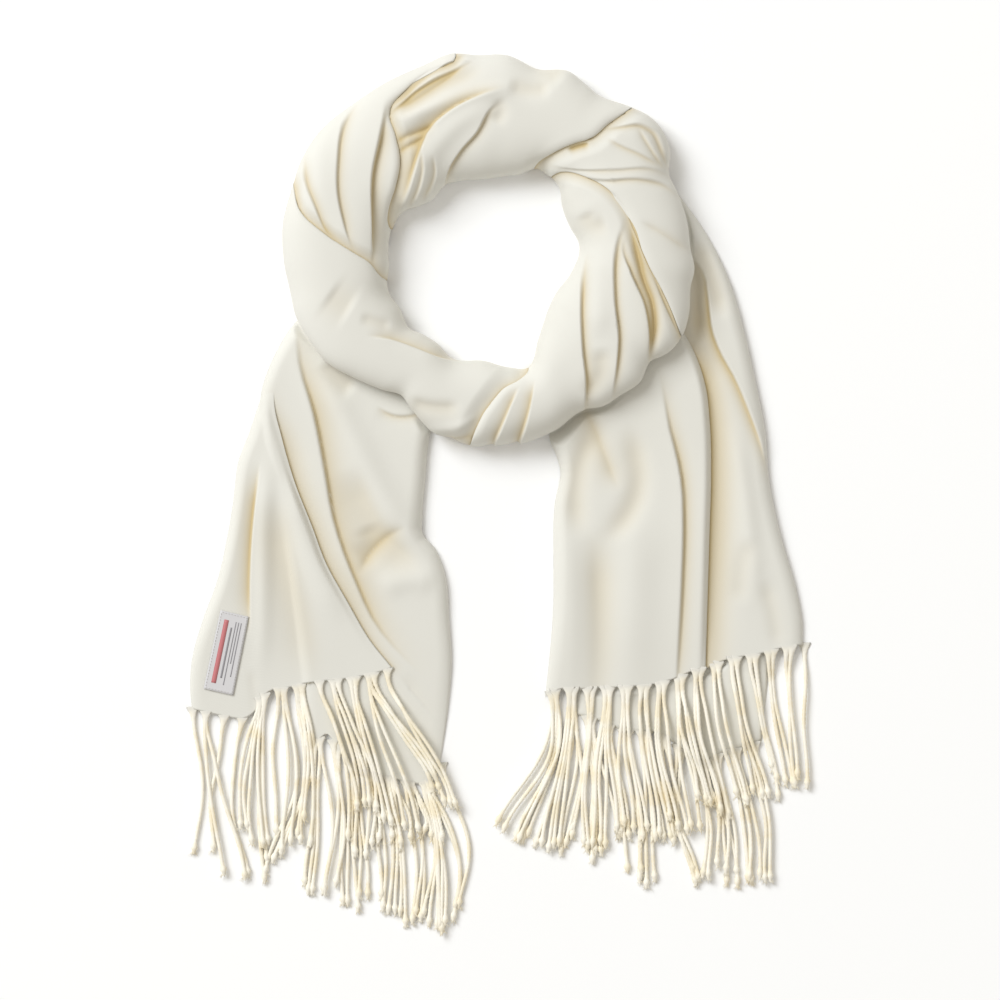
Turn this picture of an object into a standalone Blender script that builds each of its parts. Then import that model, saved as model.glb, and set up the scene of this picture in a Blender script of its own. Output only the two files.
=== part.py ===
"""Pashmina shawl, wound once into a neck ring and laid flat, with its two fringed ends side by side.

Frame: metres, +Z up. The floor is z = 0, +Y runs from the fringe towards the ring, and the origin lies on
the floor under the middle of the shawl's box. Every table is in millimetres and degrees in this frame.

The cloth is made of walls. Those of the ring lie on one rounded base surface, described by an angle round
the ring and a share across it, from 0 at the outer rim to 1 at the inner rim. Going round, each stretch
starts with a free edge that lies on the stretch before it, and ends tucked under the next one. Those of
the two ends are heights over the floor, between four drawn edges. Folds are drawn as short paths seen
from above, and press into or rise out of whichever wall they lie on.
"""

import math
from collections import namedtuple

import bpy
import numpy as np

MM = 0.001

# The cloth
WALL = 1.6  # thickness of a wall, two plies of the cloth
GAP = 0.7  # air between two walls that lie on each other
FINE = 3.0  # spacing of the points that a wall is worked out at, before it is thinned out
FOLD_PARTS = 24  # points along a fold, a free edge or a panel's side, and a hem when distances are taken
EDGE_PARTS = 40
HEM_PARTS = 60
FLOOR_BAND = 0.45  # points this close to the floor lie on it

STEEPEST = 2.2  # the most that a steep flank thickens a wall, measured straight down
EDGE = 1.0  # height of a wall's edge where it lies on the floor
LOW_WALL = 2.2  # a wall no higher than this is solid down to the floor
SLOPE_REACH = 3.0  # what lies under a steep fold keeps clear of it this far to each side
NEIGHBOURS = ((0, 0), (1, 0), (-1, 0), (0, 1), (0, -1), (0.7, 0.7), (-0.7, 0.7), (0.7, -0.7), (-0.7, -0.7))
SHARP_POWER = 1.15  # how a crease's flanks rise from its bottom, and a soft fold's
ROUND_POWER = 2.0
FOLD_FADE = 0.22  # share of a fold's length over which each of its ends fades
FOLD_HIDDEN = 10.0  # a crease fades over this distance under the next layer, and a ridge before it
SHIFT = (0.27, 2.2, 0.0)  # brings the middle of the whole shawl over the origin
COLLECTION = "pashmina_shawl"

# The ring: centre, fullness of its section, and its hidden layers
RING_CENTRE = (-6.5, 183.4)
PLAN_POWER = 0.85
HEIGHT_POWER = 0.75
UNDERCUT = 25  # degrees by which the section turns in again below its widest places
BELLY = 6.0  # height of the widest places
SECTION_POINTS = 48
RIM_SHARE = 0.12
CORE_INSET = 13.5
CORE_TAIL_INSET = 18.0
CORE_TAIL_LIFT = 6.0
CORE_THINNEST = 12.0
CORE_SWEEP = 10  # the hidden layers keep inside the rims of this many degrees to each side
CORE_SECTIONS = 90
CORE_POINTS = 13
DEEPEST_FOLD = 8.5  # leaves room over the hidden layers for the wall and the one tucked under it
EDGE_AIR = 1.1  # air under a stretch's rolled free edge
TUCK = 11.0  # how far a stretch runs on under the next one at the outer rim
TUCK_INSIDE = 4.0  # and at the inner rim
TUCK_RADII = (60, 140)  # where the inner and the outer rim are taken to lie for this
TUCK_AIR = 1.3
TUCK_LEVEL = -(CORE_INSET - WALL - TUCK_AIR)  # where the tuck's end lies, just over the hidden layers
NORMAL_ANGLE = 1.5  # the ring's outward direction is taken between points this far to each side
NORMAL_SHARE = 0.01
HIDDEN_COLOUR = (0.75, 0.72, 0.62)

OUTER_RIM = (
    # angle, radius, lift over what the rim lies on
    (0, 150.2, 10), (9, 148.9, 8), (18, 146.8, 5), (23, 145.8, 3), (30, 155.0, 0), (38, 157.4, 0),
    (43, 154.0, 0), (47, 149.5, 0), (55, 142.5, 0), (60, 144.0, 0), (68, 147.5, 0), (76, 142.2, 0),
    (85, 147.3, 0), (94, 147.3, 0), (101, 150.8, 0), (109, 148.0, 0), (123, 148.5, 0), (137, 151.3, 0),
    (152, 156.5, 0), (164, 155.7, 0), (172, 156.4, 0), (182, 154.6, 0), (192, 152.5, 0), (198, 153.2, 1),
    (206, 150.6, 10), (215, 147.0, 14), (223, 139.0, 15), (232, 131.5, 15), (239, 126.8, 15),
    (244, 133.0, 13), (250, 139.0, 7), (256, 143.0, 0), (264, 146.3, 0), (272, 144.8, 0), (281, 145.0, 0),
    (290, 142.6, 4), (300, 138.0, 9), (306, 143.5, 12), (312, 145.5, 15), (319, 148.8, 16),
    (325, 145.8, 16), (330, 153.0, 16), (336, 157.0, 16), (342, 156.0, 14), (350, 152.3, 12),
    (355, 153.3, 11),
)
INNER_RIM = (
    # angle, radius
    (4, 66.9), (18, 62.4), (34, 64.7), (42, 70.1), (52, 71.6), (61, 70.2), (69, 62.0), (76, 58.8),
    (98, 54.5), (112, 57.2), (125, 59.7), (139, 58.5), (148, 63.7), (155, 71.0), (168, 74.4), (191, 77.2),
    (200, 81.4), (213, 79.7), (223, 82.8), (231, 79.4), (241, 78.9), (251, 84.2), (267, 82.0),
    (280, 88.0), (289, 90.5), (298, 76.0), (311, 63.8), (329, 58.5), (345, 62.8),
)
CROWN = (
    # angle, height of the ring's crest
    (20, 40), (50, 38), (90, 37), (130, 36), (165, 38), (210, 38), (245, 36), (275, 37), (300, 40), (340, 42),
)

# Where one stretch of the ring lies over the one before it, from the outer rim inwards. The free edge
# rolls down by "roll" over "roll width", and the stretch under it sinks over "dip width" to meet it.
Edge = namedtuple("Edge", "path roll roll_width dip_width")
OVER_WRAP = Edge(((100, 291), (83, 279), (68, 266), (58, 263), (28, 246), (16, 234)), 3.4, 7, 13)
OVER_TOP = Edge(
    ((-31, 328), (-53, 318), (-64, 310), (-71, 303), (-81, 292), (-82, 286), (-77, 270), (-73, 249),
     (-76, 229), (-79, 216), (-79, 199), (-66, 188)),
    4.6, 6, 9,
)
OVER_LEFT = Edge(
    ((-154, 235), (-150, 215), (-129, 195), (-107, 181), (-95, 174), (-84, 162), (-72, 158)), 2.6, 8, 9
)
OVER_LOWER = Edge(
    ((-21, 39), (-16, 51), (-11, 62), (-4, 72), (4, 82), (15, 89), (22, 97), (22, 110)), 4.2, 6, 14
)
OVER_RIGHT = Edge(
    ((136, 120), (130, 136), (121, 155), (110, 174), (104, 189), (98, 204), (96, 210), (85, 225),
     (70, 235), (42, 240), (30, 232)),
    3.2, 6, 9,
)

# A fold's path is seen from above. Depth is in mm, into the wall, or out of it below 0. Its flanks are
# as wide as given to the left and the right of someone who walks along the path. A crease is sharp at
# the bottom, and a soft fold is round.
Fold = namedtuple("Fold", "path depth left right sharp")
TOP_FOLDS = (
    Fold(((-24, 331), (-52, 321), (-64, 312), (-80, 297)), 2.6, 3, 4, True),
    Fold(((-20, 325), (-52, 311), (-66, 300), (-84, 286)), 3.4, 3, 4, True),
    Fold(((-8, 318), (-44, 305), (-64, 293), (-86, 279)), 4.5, 6, 6, False),
    Fold(((18, 304), (-16, 300), (-52, 288), (-86, 277)), -3.6, 7, 6, False),
    Fold(((6, 303), (-16, 297), (-37, 286), (-57, 270), (-82, 263)), 6.0, 4, 9, True),
    Fold(((4, 294), (-20, 284), (-40, 268), (-52, 250), (-54, 232)), -2.6, 8, 8, False),
    Fold(((-56, 270), (-59, 258), (-66, 240), (-70, 222)), 6.5, 4, 16, True),
    Fold(((-56, 262), (-56, 241), (-59, 228), (-66, 219)), 2.6, 3, 3, True),
    Fold(((-50, 254), (-47, 241), (-49, 230), (-58, 220)), 2.4, 3, 3, True),
    Fold(((-3, 292), (-17, 270), (-28, 257), (-38, 242), (-40, 226)), 6.0, 10, 4, True),
    Fold(((6, 306), (22, 303), (40, 304)), 1.8, 6, 6, False),
    Fold(((34, 342), (37, 322), (50, 310)), 2.0, 12, 12, False),
)
LEFT_FOLDS = (
    Fold(((-143, 262), (-145, 240), (-137, 216), (-125, 192), (-110, 182)), 5.4, 5, 3, True),
    Fold(((-103, 298), (-117, 276), (-120, 249), (-120, 226), (-115, 202), (-106, 176)), 6.4, 7, 5, True),
    Fold(((-82, 298), (-90, 266), (-95, 241), (-95, 199), (-93, 165)), 9.0, 7, 4, True),
    Fold(((-152, 236), (-152, 226), (-148, 212)), 2.2, 3, 3, True),
    Fold(((-112, 306), (-131, 270), (-133, 235), (-126, 205)), -1.6, 9, 9, False),
)
LOWER_FOLDS = (
    Fold(((-130, 153), (-118, 144), (-106, 136)), 2.4, 13, 13, False),
    Fold(((-100, 127), (-67, 123), (-45, 113), (-28, 101)), 3.2, 4, 9, True),
    Fold(((-70, 70), (-48, 66), (-26, 66)), 2.4, 5, 6, False),
    Fold(((-60, 50), (-34, 51), (-20, 55), (-8, 64)), -1.6, 4, 4, False),
    Fold(((-46, 43), (-30, 42), (-14, 44)), 2.2, 3, 3, True),
)
RIGHT_FOLDS = (
    Fold(((67, 184), (62, 162), (61, 135), (63, 105), (66, 80), (62, 52)), 4.8, 6, 5, True),
    Fold(((94, 206), (88, 189), (86, 147), (89, 117), (88, 100), (84, 66)), 5.4, 7, 5, True),
    Fold(((92, 192), (94, 180), (98, 166), (108, 143), (112, 120), (112, 92)), 4.2, 6, 5, True),
    Fold(((100, 206), (106, 186), (112, 162), (119, 144), (120, 129), (115, 100)), 6.0, 5, 6, True),
    Fold(((108, 184), (117, 159), (124, 142), (139, 112)), 4.0, 5, 3, True),
    Fold(((62, 212), (70, 201), (82, 203)), 1.8, 7, 7, False),
    Fold(((75, 112), (76, 92), (64, 72)), 2.4, 7, 7, False),
    Fold(((16, 84), (8, 65), (3, 50), (-8, 34)), 4.2, 5, 3, True),
    Fold(((27, 90), (23, 65), (18, 46), (10, 34)), 4.6, 6, 3, True),
    Fold(((76, 190), (74, 150), (76, 115)), -1.8, 9, 9, False),
)
WRAP_FOLDS = (
    Fold(((74, 274), (91, 276), (106, 277), (116, 272), (122, 260), (128, 240)), 3.6, 4, 3, True),
    Fold(((79, 268), (91, 260), (105, 255), (122, 246)), 2.8, 3, 3, True),
    Fold(((104, 276), (113, 261), (125, 243)), 2.6, 3, 3, True),
    Fold(((32, 246), (57, 243), (87, 243), (113, 244), (132, 238)), 2.0, 3, 3, True),
    Fold(((42, 238), (76, 234), (106, 235), (122, 233), (138, 222)), 2.8, 3, 4, True),
    Fold(((108, 203), (123, 195), (143, 182)), 1.0, 3, 3, True),
)

Stretch = namedtuple("Stretch", "start end folds triangles colour")
STRETCHES = {
    "ring_wrap": Stretch(OVER_RIGHT, OVER_WRAP, WRAP_FOLDS, 400, (0.86, 0.83, 0.74)),
    "ring_top": Stretch(OVER_WRAP, OVER_TOP, TOP_FOLDS, 620, (0.84, 0.81, 0.72)),
    "ring_left": Stretch(OVER_TOP, OVER_LEFT, LEFT_FOLDS, 560, (0.87, 0.84, 0.76)),
    "ring_lower": Stretch(OVER_LEFT, OVER_LOWER, LOWER_FOLDS, 320, (0.85, 0.82, 0.73)),
    "ring_right": Stretch(OVER_LOWER, OVER_RIGHT, RIGHT_FOLDS, 860, (0.88, 0.85, 0.77)),
}
NEXT_STRETCH = {
    "ring_wrap": "ring_top", "ring_top": "ring_left", "ring_left": "ring_lower",
    "ring_lower": "ring_right", "ring_right": "ring_wrap",
}

# The two ends. Each panel has four edges seen from above, the crest's height at some places down its
# length, and the width over which its sides roll down to the floor or to the panel under it.
Panel = namedtuple("Panel", "top hem left right crest roll_left roll_right folds triangles colour")
LEFT_BACK_FOLDS = (
    Fold(((-152, 138), (-149, 99), (-140, 72), (-132, 37), (-130, 12), (-124, -16), (-117, -45), (-97, -85),
          (-80, -110), (-62, -128)), 8.4, 14, 4, True),
    Fold(((-178, 92), (-168, 62), (-158, 38), (-150, 10), (-136, -26), (-126, -50), (-108, -80),
          (-90, -112), (-70, -140)), 4.2, 10, 6, False),
    Fold(((-112, -64), (-97, -45), (-82, -31)), 6.0, 4, 7, True),
    Fold(((-106, 20), (-93, -18), (-85, -31), (-72, -42), (-58, -56)), 4.6, 4, 12, False),
    Fold(((-145, 118), (-127, 72), (-104, 35), (-85, -3), (-72, -27)), -2.2, 12, 12, False),
    Fold(((-96, 74), (-83, 63), (-73, 61), (-58, 62)), 2.4, 3, 4, True),
    Fold(((-140, 110), (-132, 92), (-124, 84)), 2.0, 7, 7, False),
    Fold(((-84, -60), (-66, -72), (-44, -76)), 1.6, 8, 8, False),
    Fold(((-76, -134), (-62, -158), (-52, -180)), 1.6, 7, 9, False),
)
LEFT_FRONT_FOLDS = (
    Fold(((-184, 44), (-187, 16), (-188, -20), (-186, -62)), 3.2, 5, 7, False),
    Fold(((-168, 4), (-162, -48), (-148, -92), (-142, -140)), 3.0, 11, 12, False),
    Fold(((-170, 20), (-172, -30), (-176, -90)), -1.4, 7, 7, False),
    Fold(((-186, -128), (-183, -148), (-182, -170)), 1.4, 4, 4, False),
)
RIGHT_FRONT_FOLDS = (
    Fold(((124, 78), (128, 50), (134, 31), (138, 8), (139, -18), (137, -63), (135, -108), (133, -150)),
         8.0, 5, 5, True),
    Fold(((66, 66), (76, 33), (91, 10)), -2.4, 6, 6, False),
    Fold(((96, 24), (104, 8), (99, -14), (92, -22)), 2.4, 7, 7, False),
    Fold(((64, 46), (59, 24), (56, -8)), 2.6, 6, 6, False),
    Fold(((75, 12), (77, -36), (78, -93), (76, -150)), 3.2, 8, 9, False),
    Fold(((104, -20), (102, -80), (102, -146)), -1.6, 14, 14, False),
)
RIGHT_SIDE_FOLDS = (
    Fold(((118, 186), (138, 142), (152, 98), (159, 65), (162, 35), (163, -18), (161, -78), (160, -150),
          (160, -210)), 6.2, 11, 30, False),
    Fold(((140, 186), (146, 168), (149, 140), (152, 112)), 5.0, 5, 5, True),
    Fold(((142, 181), (153, 169), (157, 147), (159, 124), (162, 112)), -3.4, 4, 4, False),
    Fold(((161, 124), (166, 108), (176, 91), (188, 68), (198, 38), (204, 10)), 3.8, 4, 8, True),
    Fold(((147, 196), (160, 160), (168, 130)), 2.6, 7, 7, False),
    Fold(((178, 26), (187, -3), (191, -33), (193, -70)), -1.8, 8, 8, False),
    Fold(((189, -28), (183, -52), (179, -84)), 1.6, 7, 7, False),
    Fold(((198, -60), (205, -85), (210, -118)), 1.8, 6, 6, False),
)
LEFT_BACK = Panel(
    top=((-143, 139), (-44, 66)),
    hem=((-144, -183), (-137, -183), (-129, -178), (-121, -189), (-110, -199), (-96, -207), (-83, -210),
         (-68, -214), (-58, -215), (-49, -210), (-44, -201)),
    left=((-143, 139), (-153, 130), (-166, 110), (-178, 78), (-178, 40), (-168, 0), (-156, -78), (-147, -146),
          (-144, -183)),
    right=((-44, 66), (-51, 47), (-55, 12), (-57, -14), (-57, -27), (-47, -40), (-40, -58), (-37, -92),
           (-35, -122), (-37, -152), (-44, -201)),
    crest=((140, 11), (100, 12), (50, 12), (0, 11), (-60, 10), (-100, 8), (-140, 5.5), (-180, 3.2),
           (-215, 2.4)),
    roll_left=9, roll_right=11, folds=LEFT_BACK_FOLDS, triangles=1240, colour=(0.82, 0.79, 0.7),
)
LEFT_FRONT = Panel(
    top=((-180, 84), (-174, 84)),
    hem=((-230, -159), (-217, -162), (-203, -165), (-190, -166), (-183, -161), (-178, -151), (-170, -145),
         (-157, -143), (-146, -140), (-131, -138), (-106, -135), (-92, -132), (-80, -128)),
    left=((-180, 84), (-187, 57), (-195, 27), (-199, -3), (-204, -33), (-211, -63), (-222, -93), (-230, -123),
          (-231, -150), (-230, -159)),
    right=((-174, 84), (-171, 66), (-162, 43), (-153, 12), (-139, -24), (-130, -48), (-113, -79), (-96, -108),
           (-80, -128)),
    crest=((84, 7), (60, 10), (20, 12.5), (-40, 12.5), (-90, 10), (-130, 6), (-165, 3.0)),
    roll_left=9, roll_right=6, folds=LEFT_FRONT_FOLDS, triangles=620, colour=(0.87, 0.84, 0.75),
)
RIGHT_SIDE = Panel(
    top=((118, 226), (133, 229)),
    hem=((150, -131), (157, -128), (168, -123), (181, -120), (194, -118), (209, -114), (228, -111)),
    left=((118, 226), (122, 190), (128, 150), (132, 116), (141, 80), (146, 40), (147, -20), (147, -80),
          (150, -131)),
    right=((133, 229), (154, 200), (173, 162), (185, 121), (193, 85), (200, 50), (203, 12), (212, -30),
           (223, -68), (228, -95), (228, -111)),
    crest=((230, 7), (190, 10), (150, 11), (100, 11), (40, 10.5), (-40, 10), (-90, 7.5), (-131, 5.2)),
    roll_left=0, roll_right=10, folds=RIGHT_SIDE_FOLDS, triangles=820, colour=(0.83, 0.8, 0.71),
)
RIGHT_FRONT = Panel(
    top=((46, 64), (128, 140)),
    hem=((35, -149), (46, -144), (59, -144), (83, -143), (100, -142), (113, -141), (126, -138), (135, -135),
         (144, -131), (155, -128)),
    left=((46, 64), (38, 45), (43, 31), (46, 20), (42, -5), (41, -51), (41, -79), (39, -110), (35, -149)),
    right=((128, 140), (139, 122), (149, 102), (155, 82), (158, 56), (159, 14), (158, -22), (157, -58),
           (156, -93), (155, -128)),
    crest=((140, 14.5), (80, 14.5), (30, 14), (-40, 13.5), (-90, 11), (-145, 5.4)),
    roll_left=10, roll_right=6, folds=RIGHT_FRONT_FOLDS, triangles=960, colour=(0.88, 0.85, 0.76),
)
LEFT_CORE_EDGES = (
    ((-128, 116), (-66, 70)), ((-128, -130), (-58, -130)),
    ((-128, 116), (-146, 60), (-146, 0), (-138, -70), (-128, -130)),
    ((-66, 70), (-70, 10), (-70, -30), (-56, -70), (-58, -130)),
)
RIGHT_BACK_EDGES = (
    ((70, 80), (160, 176)),
    ((57, -163), (74, -168), (100, -177), (113, -177), (128, -182), (142, -194), (151, -199), (160, -197),
     (168, -192), (178, -190), (197, -183)),
    ((70, 80), (66, 40), (60, 0), (58, -60), (58, -120), (57, -163)),
    ((160, 176), (176, 130), (186, 86), (190, 30), (196, -30), (202, -80), (202, -130), (197, -183)),
)
BACK_THICKNESS = 2.6
BACK_ROLL = 8.0
BESIDE = 3.0  # a layer keeps its height this far past the edge of the layer under it
OPEN = 50.0  # stands for the free air where no panel covers the back layers
CORE_CLEARANCE = 2.7  # from a panel's upper face down to the hidden layers under it
RING_CLEARANCE = 1.0  # from the ring's raised rim down to the ends under it
RING_PRESS_REACH = 1.5  # the ring holds the cloth down this far beside its rim
RING_PRESS_SLOPE = 0.9
PRESS_BLEND = 1.0  # rounds a panel where the ring starts to hold it down
HIDDEN_START = 2.0  # the left back layer turns smooth this far under the front panel's edge
HIDDEN_WIDTH = 8.0  # and over this width
CORE_TRIANGLES = {"ring_core": 420, "left_tail_core": 170, "right_tail_back": 420}

# Fringe: strands of the warp, fused into a narrow strip that lies just off the hem
STRAND = 3.2
STRIP_OFF_HEM = 1.0
STRIP_WIDTH = 2.4
STRIP_HEIGHT = 1.8
STRAND_SWAY = 2.5
SWAY_BENDS = 1.3  # half waves down a strand
UNEVEN = 0.05  # share by which the strands' lengths differ
UNEVEN_TURN = 7  # radians by which this difference turns along a hem
STRAND_SETTLE = 0.3  # share of a strand's length over which it comes down to what it rests on
HEM_STEPS = 400
STRAND_STEPS = ((0.1, 3.2), (0.3, 3.2), (0.6, 3.2), (0.9, 3.0), (0.95, 5.2), (1.0, 3.4))  # share, width
OFF_FLOOR = 0.5
OVER_BACK = 4.8
FRINGE_COLOUR = (0.88, 0.82, 0.68)
# span: shares of the hem between which strands hang. Lean: degrees from -Y towards +X at the hem's left
# and right ends. Root: height of the strip's underside at some places across. Carried: the strands
# between these places lie on the back layer and its fringe.
Fringe = namedtuple("Fringe", "hem span count length lean_left lean_right root carried phase")
FRINGES = {
    "left_fringe_front": Fringe(
        LEFT_FRONT.hem, (0.0, 1.0), 15, 110, 2, 20,
        ((-230, 0.5), (-160, 0.8), (-152, 5.0), (-140, 6.6), (-80, 7.4)), (-166, 0), 0.4,
    ),
    "left_fringe_back": Fringe(
        LEFT_BACK.hem, (0.0, 1.0), 12, 112, 2, 5, ((-144, 0.5), (-44, 0.5)), (0, 0), 2.1,
    ),
    "right_fringe_front": Fringe(
        RIGHT_FRONT.hem, (0.0, 1.0), 13, 100, -16, 8,
        ((35, 0.5), (48, 1.0), (58, 3.8), (132, 4.0), (143, 5.6), (155, 5.8)), (48, 300), 1.2,
    ),
    "right_fringe_side": Fringe(
        RIGHT_SIDE.hem, (0.1, 1.0), 8, 104, 14, 3,
        ((150, 3.6), (200, 3.6), (210, 0.5), (228, 0.5)), (0, 208), 3.0,
    ),
    "right_fringe_back": Fringe(
        RIGHT_BACK_EDGES[1], (0.0, 1.0), 15, 98, -12, 2, ((57, 0.5), (197, 0.5)), (0, 0), 0.0,
    ),
}

# Label: four corners on the left front panel, and its own thickness and clearance
LABEL_CORNERS = ((-208, -85), (-187, -90), (-199, -149), (-221, -144))
LABEL_THICKNESS = 0.7
LABEL_LIFT = 0.6
LABEL_COLOUR = (0.82, 0.8, 0.8)


def smooth(at, knots, values):
    """Cubic curve through rows of values, each at its knot."""
    knots = np.asarray(knots, float)
    values = np.asarray(values, float)
    slope = np.gradient(values, knots, axis=0)
    low = np.clip(np.searchsorted(knots, at, side="right") - 1, 0, len(knots) - 2)
    width = knots[low + 1] - knots[low]
    t = np.clip((at - knots[low]) / width, 0, 1)
    if values.ndim > 1:
        t = t[..., None]
        width = width[..., None]
    ease = t * t * (3 - 2 * t)
    here = values[low] * (1 - ease) + values[low + 1] * ease
    return here + width * t * (1 - t) * ((1 - t) * slope[low] - t * slope[low + 1])


def curve(path, count):
    """Points evenly spaced along a smooth curve through the points of a path."""
    path = np.asarray(path, float)
    run = np.r_[0, np.cumsum(np.linalg.norm(np.diff(path, axis=0), axis=1))]
    dense = smooth(np.linspace(0, run[-1], 8 * count), run, path)
    length = np.r_[0, np.cumsum(np.linalg.norm(np.diff(dense, axis=0), axis=1))]
    even = np.linspace(0, length[-1], count)
    return np.stack([np.interp(even, length, dense[:, k]) for k in (0, 1)], axis=1)


def side_of(x, y, path, count=EDGE_PARTS):
    """Distance from a path, above 0 to the left of it, and the share of the path at the nearest point."""
    line = curve(path, count)
    start = line[:-1]
    step = line[1:] - start
    reach = (step**2).sum(axis=1)
    dx = x[..., None] - start[:, 0]
    dy = y[..., None] - start[:, 1]
    share = np.clip((dx * step[:, 0] + dy * step[:, 1]) / reach, 0, 1)
    away = np.hypot(dx - share * step[:, 0], dy - share * step[:, 1])
    near = away.argmin(axis=-1)[..., None]
    cross = np.take_along_axis(step[:, 0] * dy - step[:, 1] * dx, near, -1)[..., 0]
    distance = np.take_along_axis(away, near, -1)[..., 0]
    along = (near[..., 0] + np.take_along_axis(share, near, -1)[..., 0]) / (count - 1)
    return np.where(cross >= 0, distance, -distance), along


def ramp(t):
    """0 below 0, 1 above 1, and a smooth slope between."""
    t = np.clip(t, 0, 1)
    return t * t * (3 - 2 * t)


def shoulder(t):
    """A quarter round: 0 at an edge, 1 from the end of the roll on."""
    return np.sqrt(np.clip(1 - (1 - np.clip(t, 0, 1)) ** 2, 0, 1))


def higher(a, b, blend=0.8):
    """The higher of two surfaces, rounded where they cross."""
    return (a + b + np.hypot(a - b, blend)) / 2


def lowest_near(surface, x, y, reach=SLOPE_REACH):
    """The lowest that a surface gets within a short way of each point."""
    return np.min([surface(x + reach * i, y + reach * j) for i, j in NEIGHBOURS], axis=0)


def relief(x, y, folds):
    """Height that the folds add to a wall at points seen from above."""
    total = np.zeros_like(x)
    for fold in folds:
        distance, along = side_of(x, y, fold.path, FOLD_PARTS)
        share = np.where(distance > 0, distance / fold.left, -distance / fold.right)
        power = SHARP_POWER if fold.sharp else ROUND_POWER
        ends = ramp(along / FOLD_FADE) * ramp((1 - along) / FOLD_FADE)
        total -= fold.depth * ends * np.exp(-(share**power))
    return total


# ---------------------------------------------------------------------------------- the ring


def around(table, angle):
    """A ring table's columns at any angle."""
    rows = np.array(table, float)
    turn = np.zeros(rows.shape[1])
    turn[0] = 360
    rows = np.concatenate([rows - turn, rows, rows + turn])
    return smooth(np.asarray(angle, float), rows[:, 0], rows[:, 1:])


def section(angle, share):
    """The base surface: a rounded section that curls in again under its widest places."""
    outer, lift = np.moveaxis(around(OUTER_RIM, angle), -1, 0)
    inner = around(INNER_RIM, angle)[..., 0]
    crown = around(CROWN, angle)[..., 0]
    turn = np.radians(-UNDERCUT + (180 + 2 * UNDERCUT) * share)
    side = np.cos(turn)
    up = np.sin(turn)
    side = np.sign(side) * np.abs(side) ** PLAN_POWER
    radius = (outer + inner) / 2 + (outer - inner) / 2 * side
    above = BELLY + (crown - BELLY) * np.abs(up) ** HEIGHT_POWER
    below = BELLY * (1 + up / math.sin(math.radians(UNDERCUT)))
    height = np.where(up > 0, above, below)
    height = height + lift * (1 - height / crown) * ramp(0.5 + side)
    turned = np.radians(angle)
    x = RING_CENTRE[0] + radius * np.cos(turned)
    y = RING_CENTRE[1] + radius * np.sin(turned)
    return np.stack([x, y, height], axis=-1)


def ring_point(angle, share, offset):
    """A point moved out of the base surface along its normal."""
    d_angle = section(angle + NORMAL_ANGLE, share) - section(angle - NORMAL_ANGLE, share)
    low = np.clip(share - NORMAL_SHARE, 0, 1)
    high = np.clip(share + NORMAL_SHARE, 0, 1)
    d_share = section(angle, high) - section(angle, low)
    normal = np.cross(d_angle, d_share)
    normal /= np.linalg.norm(normal, axis=-1, keepdims=True)
    return section(angle, share) + normal * offset[..., None]


def edge_angle(edge, share):
    """The angle at which a free edge crosses each share of the section."""
    line = curve(edge.path, HEM_PARTS) - RING_CENTRE
    angle = np.degrees(np.unwrap(np.arctan2(line[:, 1], line[:, 0])))
    radius = np.hypot(line[:, 0], line[:, 1])
    outer = around(OUTER_RIM, angle)[:, 0]
    inner = around(INNER_RIM, angle)[:, 0]
    side = np.clip((radius - (outer + inner) / 2) / ((outer - inner) / 2), -1, 1)
    turn = np.degrees(np.arccos(np.sign(side) * np.abs(side) ** (1 / PLAN_POWER)))
    at = (turn + UNDERCUT) / (180 + 2 * UNDERCUT)
    order = np.argsort(at)
    angle = angle + 360 * (angle[0] < 0)
    return np.interp(share, at[order], angle[order])


def lie(name, x, y):
    """How far a stretch lies above the base surface, in its visible part and at its two edges."""
    stretch = STRETCHES[name]
    past_start = -side_of(x, y, stretch.start.path)[0]
    to_end = side_of(x, y, stretch.end.path)[0]
    rolled = stretch.start.roll * (1 - shoulder(past_start / stretch.start.roll_width))
    dipped = (stretch.end.roll + WALL + EDGE_AIR) * (1 - ramp(to_end / stretch.end.dip_width))
    folded = relief(x, y, stretch.folds)
    folded = folded * np.where(folded > 0, ramp(to_end / FOLD_HIDDEN), ramp(1 + to_end / FOLD_HIDDEN))
    rise = folded - rolled - dipped
    return np.where(rise > 0, rise, DEEPEST_FOLD * np.tanh(rise / DEEPEST_FOLD))


def stretch_points(name):
    """A grid of points over a stretch, from its free edge to the end of its tuck."""
    stretch = STRETCHES[name]
    share = np.linspace(0, 1, SECTION_POINTS)
    start = edge_angle(stretch.start, share)
    end = edge_angle(stretch.end, share)
    start = start - 360 * (start.mean() > end.mean())
    radius = np.hypot(*(section(end, share)[:, :2] - RING_CENTRE).T)
    tuck = np.interp(radius, TUCK_RADII, (TUCK_INSIDE, TUCK))
    end = end + np.degrees(tuck / radius)
    width = np.radians(end - start).max() * radius.mean()
    across = np.linspace(0, 1, int(width / FINE) + 2)[:, None]
    angle = start + (end - start) * across
    share = np.broadcast_to(share, angle.shape)
    x, y, _ = np.moveaxis(section(angle, share), -1, 0)
    hidden = -side_of(x, y, stretch.end.path)[0]
    rise = lie(name, x, y)
    cover = lowest_near(lambda u, v: lie(NEXT_STRETCH[name], u, v), x, y) - WALL - GAP
    tucked = np.minimum(rise + (TUCK_LEVEL - rise) * ramp(hidden / TUCK_INSIDE), cover)
    rise = np.where(hidden > 0, tucked, rise)
    rim = ramp(share / RIM_SHARE) * ramp((1 - share) / RIM_SHARE)
    rise = np.where(rise > 0, rise * rim, rise)
    return ring_point(angle, share, rise)


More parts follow.
